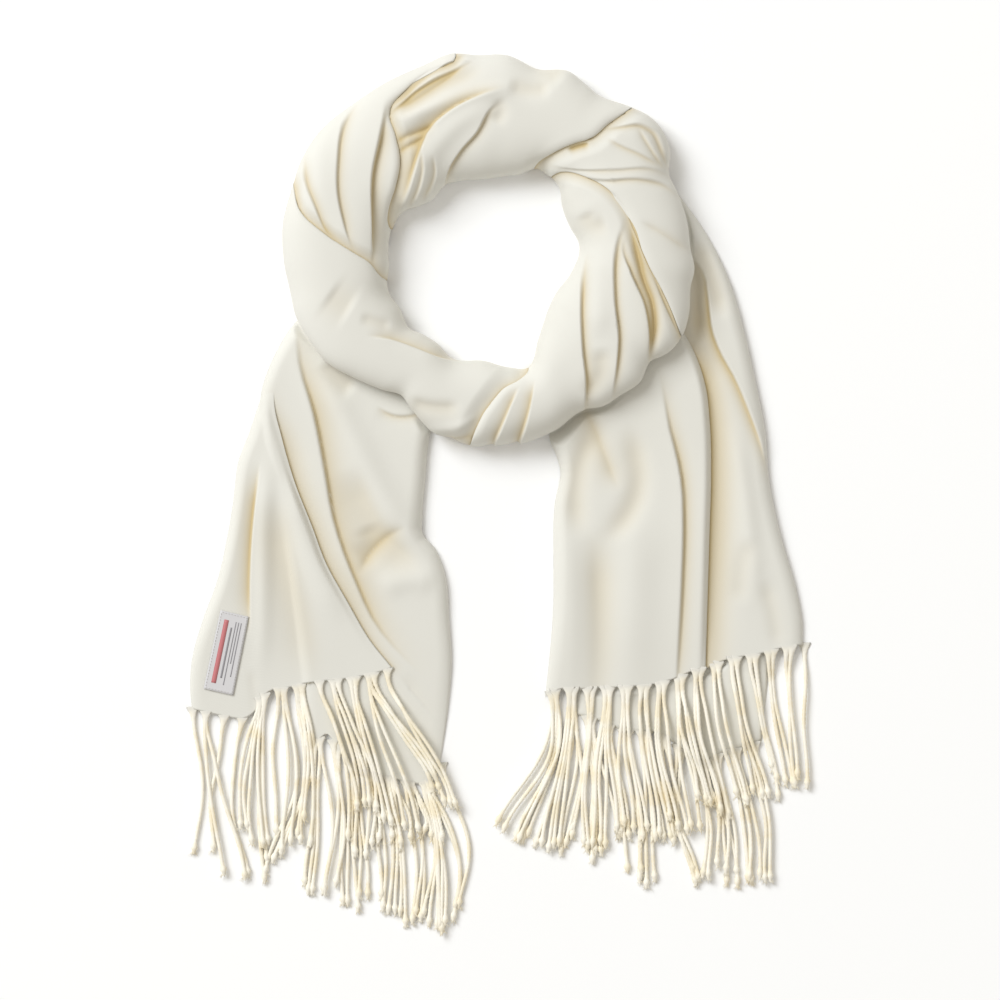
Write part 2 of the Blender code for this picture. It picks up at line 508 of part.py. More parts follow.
def core_points():
    """The upper face of the ring's hidden layers, one rounded section all the way round."""
    angle = np.linspace(0, 360, CORE_SECTIONS, endpoint=False)[:, None]
    turn = np.linspace(math.pi, 0, CORE_POINTS)
    nearby = np.linspace(-CORE_SWEEP, CORE_SWEEP, 5)[:, None, None]
    outer, lift = np.moveaxis(around(OUTER_RIM, angle + nearby), -1, 0)
    outer = outer - CORE_INSET - CORE_TAIL_INSET * np.clip(lift / CORE_TAIL_LIFT, 0, 1)
    outer = outer.min(axis=0)
    inner = around(INNER_RIM, angle + nearby)[..., 0].max(axis=0) + CORE_INSET
    outer = np.maximum(outer, inner + CORE_THINNEST)
    crown = around(CROWN, angle)[..., 0] - CORE_INSET
    side = np.cos(turn)
    side = np.sign(side) * np.abs(side) ** PLAN_POWER
    radius = (outer + inner) / 2 + (outer - inner) / 2 * side
    height = EDGE + (crown - EDGE) * np.sin(turn) ** HEIGHT_POWER
    x = RING_CENTRE[0] + radius * np.cos(np.radians(angle))
    y = RING_CENTRE[1] + radius * np.sin(np.radians(angle))
    return np.stack([x, y, height], axis=-1)


# ---------------------------------------------------------------------------------- the two ends


def spread(top, hem, left, right):
    """Plan points of a panel, from its left edge to its right and from its top to its hem."""
    length = max(np.ptp([p[1] for p in left]), np.ptp([p[1] for p in right]))
    width = max(np.ptp([p[0] for p in hem]), np.ptp([p[0] for p in top]))
    down = int(length / FINE) + 2
    along = np.linspace(0, 1, down)[None, :, None]
    across = np.linspace(0, 1, int(width / FINE) + 2)
    left = curve(left, down)
    right = curve(right, down)
    plan = left + (right - left) * across[:, None, None]
    for line, weight in ((curve(top, len(across)), (1 - along) ** 3), (curve(hem, len(across)), along**3)):
        chord = line[0] + (line[-1] - line[0]) * across[:, None]
        plan = plan + (line - chord)[:, None] * weight
    return plan[..., 0], plan[..., 1]


def margins(panel, x, y):
    """How far inside its left edge, right edge and hem each point of a panel lies."""
    left = side_of(x, y, panel.left)[0]
    right = -side_of(x, y, panel.right)[0]
    hem = side_of(x, y, panel.hem, HEM_PARTS)[0]
    return left, right, hem


def under_ring(x, y):
    """The height that the ring leaves free over each point: its rim's, and more beside it."""
    angle = np.degrees(np.arctan2(y - RING_CENTRE[1], x - RING_CENTRE[0])) % 360
    outer, lift = np.moveaxis(around(OUTER_RIM, angle), -1, 0)
    beside = np.hypot(x - RING_CENTRE[0], y - RING_CENTRE[1]) - outer
    free = np.maximum(beside - RING_PRESS_REACH, 0) * RING_PRESS_SLOPE
    return np.maximum(lift - RING_CLEARANCE, EDGE) + free


def laid(panel, x, y):
    """The height of a panel's own upper face: its crest, rolled down at its sides, with its folds."""
    left, right, _ = margins(panel, x, y)
    places = np.array(sorted(panel.crest), float)
    crest = smooth(y, places[:, 0], places[:, 1])
    rolled = np.ones_like(x)
    if panel.roll_left:
        rolled = rolled * shoulder(left / panel.roll_left)
    if panel.roll_right:
        rolled = rolled * shoulder(right / panel.roll_right)
    folded = relief(x, y, panel.folds) * crest / places[:, 1].max() * rolled
    height = EDGE + (crest - EDGE) * rolled + folded
    free = under_ring(x, y)
    return np.maximum((height + free - np.hypot(height - free, PRESS_BLEND)) / 2, EDGE)


def left_back_height(x, y):
    """Upper face of the left end's back layer, smooth where the front panel hides it."""
    covered = -side_of(x, y, LEFT_FRONT.right)[0]
    plain = laid(LEFT_BACK._replace(folds=()), x, y)
    hidden = ramp((covered - HIDDEN_START) / HIDDEN_WIDTH) * (y < LEFT_FRONT.left[0][1] + HIDDEN_WIDTH)
    return np.maximum(laid(LEFT_BACK, x, y) * (1 - hidden) + plain * hidden, EDGE)


def left_front_height(x, y):
    """Upper face of the left end's front panel, which lies on the back layer."""
    left, right, hem = margins(LEFT_BACK, x, y)
    over = np.minimum(np.minimum(left, right), hem) > -BESIDE
    carried = np.where(over, left_back_height(x, y) + WALL + GAP, EDGE)
    return higher(laid(LEFT_FRONT, x, y), carried)


def right_side_height(x, y):
    """Upper face of the right end's side panel."""
    return laid(RIGHT_SIDE, x, y)


def right_front_height(x, y):
    """Upper face of the right end's front panel, whose right edge lies on the side panel."""
    over = side_of(x, y, RIGHT_SIDE.left)[0] > -BESIDE
    carried = np.where(over, right_side_height(x, y) + WALL + GAP, EDGE)
    return higher(laid(RIGHT_FRONT, x, y), carried)


def right_cover(x, y):
    """The lower of the two panels over the right end's back layers, and nothing past their hems."""
    front = np.minimum(*margins(RIGHT_FRONT, x, y)[1:]) > -BESIDE
    side_margins = margins(RIGHT_SIDE, x, y)
    side = np.minimum(side_margins[0], side_margins[2]) > -BESIDE
    front_height = np.where(front, right_front_height(x, y), OPEN)
    side_height = np.where(side, right_side_height(x, y), OPEN)
    return np.minimum(front_height, side_height)


def right_back_height(x, y):
    """Upper face of the right end's back layers: low where it shows, and close under what covers it."""
    cover = lowest_near(right_cover, x, y)
    filled = np.where(cover < OPEN, cover - CORE_CLEARANCE, BACK_THICKNESS)
    _, hem, left, right = RIGHT_BACK_EDGES
    edge = np.minimum(side_of(x, y, left)[0], -side_of(x, y, right)[0])
    rolled = shoulder(np.minimum(edge / BACK_ROLL, side_of(x, y, hem, HEM_PARTS)[0] / BACK_THICKNESS))
    return np.maximum(filled * rolled, EDGE)


def left_core_height(x, y):
    """Upper face of the layers hidden in the left end."""
    _, _, left, right = LEFT_CORE_EDGES
    edge = np.minimum(side_of(x, y, left)[0], -side_of(x, y, right)[0])
    filled = lowest_near(left_back_height, x, y) - CORE_CLEARANCE
    return np.maximum(filled * shoulder(edge / BACK_ROLL), EDGE)


def wall_faces(x, y, height, under):
    """Upper and lower faces of a wall that lies on what is under it, and is flat on the floor."""
    rise = np.stack([height(x + 1, y) - height(x - 1, y), height(x, y + 1) - height(x, y - 1)]) / 2
    thick = WALL * np.clip(np.sqrt(1 + (rise**2).sum(axis=0)), 1, STEEPEST)
    upper = height(x, y)
    lower = (upper - thick) * ramp((upper - LOW_WALL) / LOW_WALL)
    lower = np.maximum(np.maximum(lower, 0), under(x, y))
    upper = np.maximum(upper, lower + EDGE)
    return np.stack([x, y, upper], axis=-1), np.stack([x, y, lower], axis=-1)


def over_left_core(x, y):
    """The top of the left end's hidden layers, with the air over it."""
    _, hem, left, right = LEFT_CORE_EDGES
    edge = np.minimum(side_of(x, y, left)[0], -side_of(x, y, right)[0])
    over = np.minimum(edge, side_of(x, y, hem)[0]) > -BESIDE
    return np.where(over, left_core_height(x, y) + GAP, 0)


def over_left_back(x, y):
    """The top of the left end's back layer, with the air over it."""
    left, right, hem = margins(LEFT_BACK, x, y)
    over = np.minimum(np.minimum(left, right), hem) > -BESIDE
    return np.where(over, left_back_height(x, y) + GAP, 0)


def over_right_back(x, y):
    """The top of the right end's back layers, with the air over it."""
    _, hem, left, right = RIGHT_BACK_EDGES
    edge = np.minimum(side_of(x, y, left)[0], -side_of(x, y, right)[0])
    over = np.minimum(edge, side_of(x, y, hem, HEM_PARTS)[0]) > -BESIDE
    return np.where(over, right_back_height(x, y) + GAP, 0)


def over_right_side(x, y):
    """The top of what lies under the right end's front panel, with the air over it."""
    over = side_of(x, y, RIGHT_SIDE.left)[0] > -BESIDE
    side = np.where(over, right_side_height(x, y) + GAP, 0)
    return np.maximum(side, over_right_back(x, y))


# ---------------------------------------------------------------------------------- meshes


def closed_mesh(name, upper, lower, ring=False):
    """A solid between two grids of points. A ring joins its last column to its first."""
    columns, rows = upper.shape[:2]
    count = columns * rows
    index = np.arange(count).reshape(columns, rows)
    if ring:
        index = np.concatenate([index, index[:1]])
    a, b, c, d = index[:-1, :-1], index[1:, :-1], index[1:, 1:], index[:-1, 1:]
    faces = np.stack([a, b, c, d], axis=-1).reshape(-1, 4)
    faces = np.concatenate([faces[:, ::-1], faces + count])
    borders = [index[:, 0], index[::-1, -1]]
    if not ring:
        borders += [index[-1, :], index[0, ::-1]]
    for line in borders:
        sides = np.stack([line[:-1], line[1:], line[1:] + count, line[:-1] + count], axis=-1)
        faces = np.concatenate([faces, sides])
    points = np.concatenate([upper.reshape(-1, 3), lower.reshape(-1, 3)]) + SHIFT
    mesh = bpy.data.meshes.new(name)
    mesh.from_pydata((points * MM).tolist(), [], faces.tolist())
    return mesh


def open_mesh(name, points):
    """An open surface through a grid of points."""
    columns, rows = points.shape[:2]
    index = np.arange(columns * rows).reshape(columns, rows)
    faces = np.stack([index[:-1, :-1], index[1:, :-1], index[1:, 1:], index[:-1, 1:]], axis=-1)
    mesh = bpy.data.meshes.new(name)
    mesh.from_pydata(((points.reshape(-1, 3) + SHIFT) * MM).tolist(), [], faces.reshape(-1, 4).tolist())
    return mesh


def thin_out(mesh, triangles):
    """The same surface with fewer triangles, most of them left where it bends, and flat on the floor."""
    guide = bpy.data.objects.new("guide", mesh)
    bpy.context.scene.collection.objects.link(guide)
    decimate = guide.modifiers.new("thin_out", "DECIMATE")
    decimate.ratio = triangles / (2 * len(mesh.polygons))
    decimate.use_collapse_triangulate = True
    graph = bpy.context.evaluated_depsgraph_get()
    thinned = bpy.data.meshes.new_from_object(guide.evaluated_get(graph))
    bpy.data.objects.remove(guide)
    for vertex in thinned.vertices:
        if vertex.co.z < FLOOR_BAND * MM:
            vertex.co.z = 0
    thinned.name = mesh.name
    bpy.data.meshes.remove(mesh)
    return thinned


def add_piece(name, mesh, colour):
    """Put a piece in the shawl's collection, with its own woven finish."""
    piece = bpy.data.objects.new(name, mesh)
    bpy.data.collections[COLLECTION].objects.link(piece)
    material = bpy.data.materials.new(name)
    material.use_nodes = True
    shader = material.node_tree.nodes["Principled BSDF"]
    shader.inputs["Base Color"].default_value = (*colour, 1)
    shader.inputs["Roughness"].default_value = 0.85
    shader.inputs["Metallic"].default_value = 0
    mesh.materials.append(material)
    mesh.shade_smooth()
    return piece


def add_stretch(name):
    """One stretch of the ring, an open surface given its thickness inwards."""
    stretch = STRETCHES[name]
    mesh = thin_out(open_mesh(name, stretch_points(name)), stretch.triangles)
    piece = add_piece(name, mesh, stretch.colour)
    wall = piece.modifiers.new("wall", "SOLIDIFY")
    wall.thickness = WALL * MM
    wall.offset = -1
    wall.use_rim = True
    return piece


def add_panel(name, panel, height, under):
    """One panel of an end, a loft between its two faces."""
    x, y = spread(panel.top, panel.hem, panel.left, panel.right)
    mesh = closed_mesh(name, *wall_faces(x, y, height, under))
    return add_piece(name, thin_out(mesh, panel.triangles), panel.colour)


def add_hidden(name, edges, height):
    """Hidden layers as one solid, flat on the floor."""
    x, y = spread(*edges)
    upper = np.stack([x, y, height(x, y)], axis=-1)
    mesh = closed_mesh(name, upper, upper * (1, 1, 0))
    return add_piece(name, thin_out(mesh, CORE_TRIANGLES[name]), HIDDEN_COLOUR)


def add_ring_core():
    """The ring's hidden layers, one rounded solid all the way round."""
    upper = core_points()
    mesh = closed_mesh("ring_core", upper, upper * (1, 1, 0), ring=True)
    return add_piece("ring_core", thin_out(mesh, CORE_TRIANGLES["ring_core"]), HIDDEN_COLOUR)


def add_label():
    """The sewn label, made from the points of the panel under it, moved out."""
    near_left, near_right, far_right, far_left = np.array(LABEL_CORNERS, float)
    across = np.linspace(0, 1, 5)[:, None, None]
    along = np.linspace(0, 1, 12)[None, :, None]
    near = near_left + (near_right - near_left) * across
    far = far_left + (far_right - far_left) * across
    plan = near + (far - near) * along
    x, y = plan[..., 0], plan[..., 1]
    height = left_front_height(x, y)
    lower = np.stack([x, y, height + LABEL_LIFT], axis=-1)
    upper = lower + (0, 0, LABEL_THICKNESS)
    return add_piece("label", closed_mesh("label", upper, lower), LABEL_COLOUR)


# ---------------------------------------------------------------------------------- fringe


def fringe_mesh(name, fringe):
    """A strip beside the hem whose outer side carries the strands.

    The strip's sections stand in pairs, and each pair's outer four corners are the first ring of a
    strand. Its further rings follow the strand's path, and the last one is closed.
    """
    hem = curve(fringe.hem, HEM_STEPS)
    first, last = ((HEM_STEPS - 1) * np.array(fringe.span)).tolist()
    middle = first + (last - first) * (np.arange(fringe.count) + 0.5) / fringe.count
    half = STRAND / 2 / np.linalg.norm(hem[1] - hem[0])
    places = np.sort(np.concatenate([[first], middle - half, middle + half, [last]]))
    at = np.stack([np.interp(places, np.arange(HEM_STEPS), hem[:, k]) for k in (0, 1)], axis=1)
    tangent = np.gradient(at, axis=0)
    tangent /= np.linalg.norm(tangent, axis=1, keepdims=True)
    outward = np.stack([tangent[:, 1], -tangent[:, 0]], axis=1)
    inner = at + outward * STRIP_OFF_HEM
    outer = inner + outward * STRIP_WIDTH
    root = np.interp(at[:, 0], *np.array(fringe.root, float).T)
    strip = [np.column_stack([inner, root]), np.column_stack([outer, root]),
             np.column_stack([outer, root + STRIP_HEIGHT]), np.column_stack([inner, root + STRIP_HEIGHT])]
    points = np.stack(strip, axis=1).reshape(-1, 3).tolist()
    faces = [(0, 1, 2, 3)]
    count = len(places)
    for k in range(count - 1):
        here, there = 4 * k, 4 * (k + 1)
        carries = k % 2 == 1
        for side in range(4):
            if side == 1 and carries:
                continue
            nxt = (side + 1) % 4
            faces.append((here + side, there + side, there + nxt, here + nxt))
    faces.append(tuple(4 * (count - 1) + k for k in (3, 2, 1, 0)))
    for strand, k in enumerate(range(1, count - 1, 2)):
        share = strand / (fringe.count - 1)
        ring = [4 * k + 1, 4 * k + 2, 4 * (k + 1) + 2, 4 * (k + 1) + 1]
        start = (outer[k] + outer[k + 1]) / 2
        base = (root[k] + root[k + 1]) / 2
        for corners in strand_rings(fringe, share, start, base):
            new = [len(points) + j for j in range(4)]
            points.extend(corners)
            faces += [(ring[j], new[j], new[(j + 1) % 4], ring[(j + 1) % 4]) for j in range(4)]
            ring = new
        faces.append(tuple(ring[::-1]))
    mesh = bpy.data.meshes.new(name)
    mesh.from_pydata(((np.array(points) + SHIFT) * MM).tolist(), [], faces)
    return mesh


def strand_rings(fringe, share, start, base):
    """Corners of a strand's further rings: down its lean, out to its knot and in again at its end."""
    lean = math.radians(fringe.lean_left + (fringe.lean_right - fringe.lean_left) * share)
    length = fringe.length * (1 + UNEVEN * math.sin(UNEVEN_TURN * share + fringe.phase))
    carried = fringe.carried[0] <= start[0] <= fringe.carried[1]
    rest = OVER_BACK if carried else OFF_FLOOR
    rings = []
    for step, width in STRAND_STEPS:
        sway = STRAND_SWAY * math.sin(math.pi * (SWAY_BENDS * step + share) + fringe.phase)
        sway -= STRAND_SWAY * math.sin(math.pi * share + fringe.phase)
        x = start[0] + length * step * math.sin(lean) + sway
        y = start[1] - length * step * math.cos(lean)
        low = base + (rest - base) * float(ramp(step / STRAND_SETTLE))
        middle = low + STRAND / 2
        half = width / 2
        rings.append([(x - half, y, middle - STRAND / 2), (x - half, y, middle + STRAND / 2),
                      (x + half, y, middle + STRAND / 2), (x + half, y, middle - STRAND / 2)])
    return rings


def add_fringe(name):
    """One stretch of fringe with its strip."""
    mesh = fringe_mesh(name, FRINGES[name])
    return add_piece(name, mesh, FRINGE_COLOUR)


def main():
    for old in list(bpy.data.objects):
        bpy.data.objects.remove(old)
    bpy.context.scene.collection.children.link(bpy.data.collections.new(COLLECTION))
    for name in STRETCHES:
        add_stretch(name)
    add_ring_core()
    add_hidden("left_tail_core", LEFT_CORE_EDGES, left_core_height)
    add_hidden("right_tail_back", RIGHT_BACK_EDGES, right_back_height)
    add_panel("left_tail_back", LEFT_BACK, left_back_height, over_left_core)
    add_panel("left_tail_front", LEFT_FRONT, left_front_height, over_left_back)
    add_panel("right_tail_side", RIGHT_SIDE, right_side_height, over_right_back)
    add_panel("right_tail_front", RIGHT_FRONT, right_front_height, over_right_side)
    for name in FRINGES:
        add_fringe(name)
    add_label()


main()
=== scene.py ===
"""Looks of a cream pashmina shawl, wound once into a neck ring and laid flat with its two ends side by side.

Tables are in millimetres and degrees, in the part's own frame before SHIFT: +Z up from the floor, +Y from
the fringe towards the ring. Each stretch of cloth is one thin shell. Its outer face is worked out on a grid,
as whole arrays, and its inner face is the outer one moved in by the cloth's thickness.
"""

import math
from collections import namedtuple

import bpy
import numpy as np
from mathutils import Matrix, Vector


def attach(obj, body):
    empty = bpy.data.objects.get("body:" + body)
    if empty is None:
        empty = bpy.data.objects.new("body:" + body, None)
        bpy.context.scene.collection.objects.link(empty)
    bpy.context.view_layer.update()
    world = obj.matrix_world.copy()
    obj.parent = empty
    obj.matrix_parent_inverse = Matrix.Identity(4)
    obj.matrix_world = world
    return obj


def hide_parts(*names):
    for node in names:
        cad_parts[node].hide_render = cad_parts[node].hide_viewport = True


MM = 0.001
SHIFT = (0.27, 2.2, 0.0)  # brings the tables into the part's frame

# The cloth
CLOTH = 0.6  # thickness of the cloth
LAYER = 1.6  # height that one layer adds over another
RIM = 0.7  # height of a layer's edge where it lies on the floor
FINE = 1.25  # spacing of the grid of an end
RING_FINE = 1.3  # spacing of the ring's grid at its outer rim
COARSE = 2.4  # spacing of the grids of the hidden layers
LOWEST = 0.05  # the least height over the floor of a turned edge and of the fringe
LEAST_WAY, LEAST_NORMAL = 1e-6, 1e-9  # added to lengths that are divided by
FOLD_PARTS = 24  # how many points a path is worked out at: a fold's, an edge's and a hem's
EDGE_PARTS = 40
HEM_PARTS = 60
CURVE_FINENESS = 8  # points that are measured for each even point of a curve
JOIN_BLEND = 0.8  # how far two surfaces are rounded into each other where they cross
TURN_UNDER = ((0.25, 0.5), (1.2, 1.0), (3.0, 1.2), (5.5, 1.2))  # a turned edge: way back in, way down
TURN_FROM = 3  # which line of a panel's grid its turned edge heads towards
NARROWEST = 0.05  # the least share of that way that is left where a panel narrows to a point
BEND_POWER = 3  # how soon the bends of a panel's top and hem fade down its length

# Folds
SOFT_POWER, PLEAT_POWER, LIP_POWER, CREASE_POWER = 2.0, 1.3, 1.5, 1.15  # from round to sharp
FOLD_REACH = 3.2  # widths of its wider flank within which a fold is worked out
FADE = 0.28  # share of a fold's length over which each of its ends fades
STEP = 0.75  # width of the step from a pleat's lip down into its valley, as a share of its height
STEP_LEAST, STEP_MOST = 3.0, 4.2
OVER_REACH = 0.8  # share of its right flank over which a pleat's lip is pushed over its valley

# The painted shade, a warmer tone from 0 to 1: in folds, then beside the edge of a layer that lies over
LIP_TONE, LIP_TONE_START, LIP_TONE_REACH = 0.6, 0.7, 1.7
VALLEY_TONE, VALLEY_TONE_REACH = 0.4, 0.75  # the reach is a share of the left flank
PLEAT_FULL, PLEAT_MOST = 3, 1.25  # the depth at which a pleat's tone is full, and its greatest strength
CREASE_FULL, TROUGH_FULL = 5.5, 12
# Painted shadow along the edge of a layer that lies over: a narrow dark line, then a broad band
EDGE_TONE = 0.6
RING_EDGE_REACH, RING_BROAD_SHADE, RING_BROAD_SHADE_REACH = 1.4, 0.3, 9
LEFT_EDGE_REACH, LEFT_BROAD_SHADE, LEFT_BROAD_SHADE_REACH = 1.3, 0.12, 6
RIGHT_EDGE_REACH, RIGHT_BROAD_SHADE, RIGHT_BROAD_SHADE_REACH = 1.8, 0.22, 13
EDGE_TONE_UNDER = 3  # how far that tone runs on under the layer over it
LEFT_TONE_START = 0.4  # where it starts down the left end, as a share of EMERGE
RIGHT_TONE_START, RIGHT_TONE_FADE = 120, 30  # and down the right end
# painted shade over the ring's hidden layers
CORE_TONE = 0.7

# The ring: centre, fullness of its section, and the limits of its folds
RING_CENTRE = (-6.5, 183.4)
PLAN_POWER = 0.85
HEIGHT_POWER = 0.75
UNDERCUT = 25  # degrees that the section turns in below its widest places
BELLY = 6.0  # height of its widest places
SECTION_POINTS = 151
RIM_SHARE = 0.12  # share of the section at each rim over which ridges flatten
DEEPEST_FOLD = 8.5
SHARE_SAMPLES = 4000  # places at which lengths across the section are added up
EDGE_SAMPLES = 401  # places at which a free edge's angle is kept
EDGE_BLUR = 6  # how many of those samples a free edge is evened out over, to each side
EDGE_STEP = 0.9  # how far below a turned edge the next stretch lies
UNDER = 2.0  # how far below a stretch the tucked end of the next one lies
RIM_EDGE = 0.05  # at the ring's rims, a turned edge rolls down by this share of its roll
OUTER_FROM, OUTER_TO = 0.17, 0.40  # shares of the section between which that changes, from either rim
INNER_FROM, INNER_TO = 0.08, 0.30
RIM_STEP = 0.2  # share of EDGE_STEP that is left at the rims
TUCK, TUCK_INSIDE = 11.0, 4.0  # how far a stretch runs on under the next one, at the outer and inner rims
TUCK_RADII = (60, 140)  # distances from the centre between which that changes
TUCK_LEVEL = -10.6  # how deep it lies there
NORMAL_ANGLE = 1.5  # steps over which the section's normal is measured
NORMAL_SHARE = 0.01
FOLD_HIDDEN = 10.0  # width over which folds flatten towards a stretch's end
TROUGH_UNDER = 2  # how far its troughs run on past that end
TONE_SHOWN = 3  # width over which a fold's tone starts beside that end
CORE_INSET = 13.5  # the hidden layers: how far inside the rims and below the crest they lie
CORE_TAIL_INSET = 18.0  # and how much further where the ring lies on an end, at this lift or more
CORE_TAIL_LIFT = 6.0
CORE_THINNEST = 12.0
CORE_SWEEP, CORE_SWEEPS = 10, 5  # degrees to each side, and places, over which the rims are compared
CORE_STEP, CORE_POINTS = 1.5, 40  # degrees between their sections, and points of a section
CORE_FLOOR_EACH = 8  # one point along the floor for each so many above it
CORE_LAYER, CORE_LAYERS, CORE_DRIFT = 0.5, 9, 3  # height and number of their ridges, and turns round the ring

OUTER_RIM = (
    # angle, radius, lift over what the rim lies on
    (0, 150.2, 10), (9, 148.9, 8), (18, 146.8, 5), (23, 145.8, 3), (30, 155.0, 0), (38, 157.4, 0),
    (43, 154.0, 0), (47, 149.5, 0), (55, 142.5, 0), (60, 144.0, 0), (68, 147.5, 0), (76, 142.2, 0),
    (85, 147.3, 0), (94, 147.3, 0), (101, 150.8, 0), (109, 148.0, 0), (123, 148.5, 0), (137, 151.3, 0),
    (152, 156.5, 0), (164, 155.7, 0), (172, 156.4, 0), (182, 154.6, 0), (192, 152.5, 0), (198, 153.2, 1),
    (206, 150.6, 10), (215, 147.0, 14), (223, 139.0, 15), (232, 131.5, 15), (239, 126.8, 15),
    (244, 133.0, 13), (250, 139.0, 7), (256, 143.0, 0), (264, 146.3, 0), (272, 144.8, 0), (281, 145.0, 0),
    (290, 142.6, 4), (300, 138.0, 9), (306, 143.5, 12), (312, 145.5, 15), (319, 148.8, 16),
    (325, 145.8, 16), (330, 153.0, 16), (336, 157.0, 16), (342, 156.0, 14), (350, 152.3, 12),
    (355, 153.3, 11),
)
INNER_RIM = (
    # angle, radius
    (4, 66.9), (18, 62.4), (34, 64.7), (42, 70.1), (52, 71.6), (61, 70.2), (69, 62.0), (76, 58.8),
    (98, 54.5), (112, 57.2), (125, 59.7), (139, 58.5), (148, 63.7), (155, 71.0), (168, 74.4), (191, 77.2),
    (200, 81.4), (213, 79.7), (223, 82.8), (231, 79.4), (241, 78.9), (251, 84.2), (267, 82.0),
    (280, 88.0), (289, 90.5), (298, 76.0), (311, 63.8), (329, 58.5), (345, 62.8),
)
CROWN = (
    # angle, height of the ring's crest
    (20, 40), (50, 38), (90, 37), (130, 36), (165, 38), (210, 38), (245, 36), (275, 37), (300, 40), (340, 42),
)

# Where one stretch of the ring lies over the one before it, from the outer rim inwards
Edge = namedtuple("Edge", "path roll roll_width dip_width")
OVER_WRAP = Edge(((100, 291), (83, 279), (68, 266), (58, 263), (28, 246), (16, 234)), 3.4, 7, 13)
OVER_TOP = Edge(
    ((-33, 338), (-32, 328), (-53, 318), (-64, 310), (-71, 303), (-81, 292), (-82, 286), (-77, 270),
     (-73, 249), (-76, 229), (-79, 216), (-79, 199), (-66, 188)),
    4.6, 6, 9,
)
OVER_LEFT = Edge(
    ((-154, 235), (-150, 215), (-129, 195), (-107, 181), (-95, 174), (-84, 162), (-72, 158)), 2.6, 8, 9
)
OVER_LOWER = Edge(
    ((-21, 39), (-16, 51), (-11, 62), (-4, 72), (4, 82), (15, 89), (22, 97), (22, 110)), 4.2, 6, 14
)
OVER_RIGHT = Edge(
    ((136, 120), (130, 136), (121, 155), (110, 174), (104, 189), (98, 204), (96, 210), (85, 225),
     (70, 235), (42, 240), (30, 232)),
    2.0, 8, 9,
)

# A fold's path is seen from above. "depth" is how deep its valley is, or how high a ridge rises, below 0.
# Its flanks are as wide as given to the left and to the right of someone who walks along the path. A
# pleat's valley lies to the left, and its lip to the right stands up by "lip" and hangs over by "over".
Fold = namedtuple("Fold", "path depth left right lip over power")


def soft(path, depth, left, right):
    """A round trough, or a ridge."""
    return Fold(path, depth, left, right, 0, 0, SOFT_POWER)


def crease(path, depth, left, right):
    """A trough that is sharp at the bottom."""
    return Fold(path, depth, left, right, 0, 0, CREASE_POWER)


def pleat(path, depth, left, right, lip=1.0, over=1.2):
    """A fold whose lip hangs over its valley."""
    return Fold(path, depth, left, right, lip, over, PLEAT_POWER)


TOP_FOLDS = (
    pleat(((-22, 332), (-52, 320), (-62, 312), (-72, 302), (-84, 290)), 3.0, 5, 4, 0.6, 0.6),
    pleat(((-18, 326), (-52, 310), (-64, 302), (-74, 293), (-86, 284)), 3.2, 5, 4, 0.8, 0.7),
    soft(((-8, 320), (-44, 306), (-64, 293), (-86, 279)), 3.5, 6, 6),
    soft(((18, 304), (-16, 300), (-52, 288), (-86, 277)), -3.4, 7, 6),
    pleat(((-76, 208), (-68, 226), (-63, 242), (-58, 258), (-52, 272), (-37, 286), (-16, 297), (8, 305)),
          3.8, 10, 8, 1.3, 1.0),
    crease(((-44, 276), (-60, 271), (-84, 261)), 4.2, 2.8, 3.0),
    crease(((-50, 268), (-66, 261), (-86, 250)), 4.0, 2.8, 3.0),
    soft(((4, 294), (-20, 284), (-40, 268), (-52, 250), (-54, 232)), -2.6, 8, 8),
    pleat(((-69, 212), (-60, 226), (-56, 241), (-57, 262)), 1.5, 4, 4, 0.5, 0.5),
    pleat(((-58, 218), (-50, 230), (-47, 241), (-49, 256)), 1.4, 4, 4, 0.5, 0.5),
    pleat(((2, 294), (-6, 288), (-17, 270), (-28, 258), (-37, 244), (-42, 226)), 2.4, 6, 8, 1.2, 0.8),
    soft(((-2, 296), (2, 286), (-4, 276)), 1.6, 5, 5),
    soft(((6, 306), (22, 303), (40, 304)), 1.8, 6, 6),
    crease(((-26, 322), (-46, 308), (-62, 297), (-80, 287)), 2.4, 3, 3),
    soft(((34, 342), (37, 322), (50, 310)), 2.0, 12, 12),
)
LEFT_FOLDS = (
    pleat(((-145, 258), (-145, 238), (-137, 216), (-127, 194), (-112, 182)), 2.4, 7, 5, 0.6, 0.6),
    pleat(((-103, 298), (-116, 277), (-120, 249), (-120, 226), (-115, 202), (-106, 176)),
          2.6, 8, 6, 0.8, 0.7),
    pleat(((-82, 298), (-89, 265), (-94, 241), (-94, 199), (-93, 165)), 5.2, 10, 8, 1.3, 1.1),
    soft(((-152, 236), (-152, 226), (-148, 212)), 1.6, 3, 3),
    soft(((-112, 306), (-131, 270), (-133, 235), (-126, 205)), -1.6, 9, 9),
)
LOWER_FOLDS = (
    soft(((-128, 151), (-118, 144), (-108, 138)), 1.9, 13, 13),
    pleat(((-100, 119), (-80, 117), (-62, 111), (-44, 104), (-26, 100)), 1.9, 9, 9, 0.5, 0.2),
    soft(((-104, 133), (-91, 130), (-78, 127)), 1.4, 4, 5),
    soft(((-70, 70), (-48, 66), (-26, 66)), 2.2, 5, 7),
    soft(((-60, 50), (-34, 51), (-20, 55), (-8, 64)), -1.6, 4, 4),
    crease(((-46, 43), (-30, 42), (-14, 44)), 2.2, 3, 3),
)
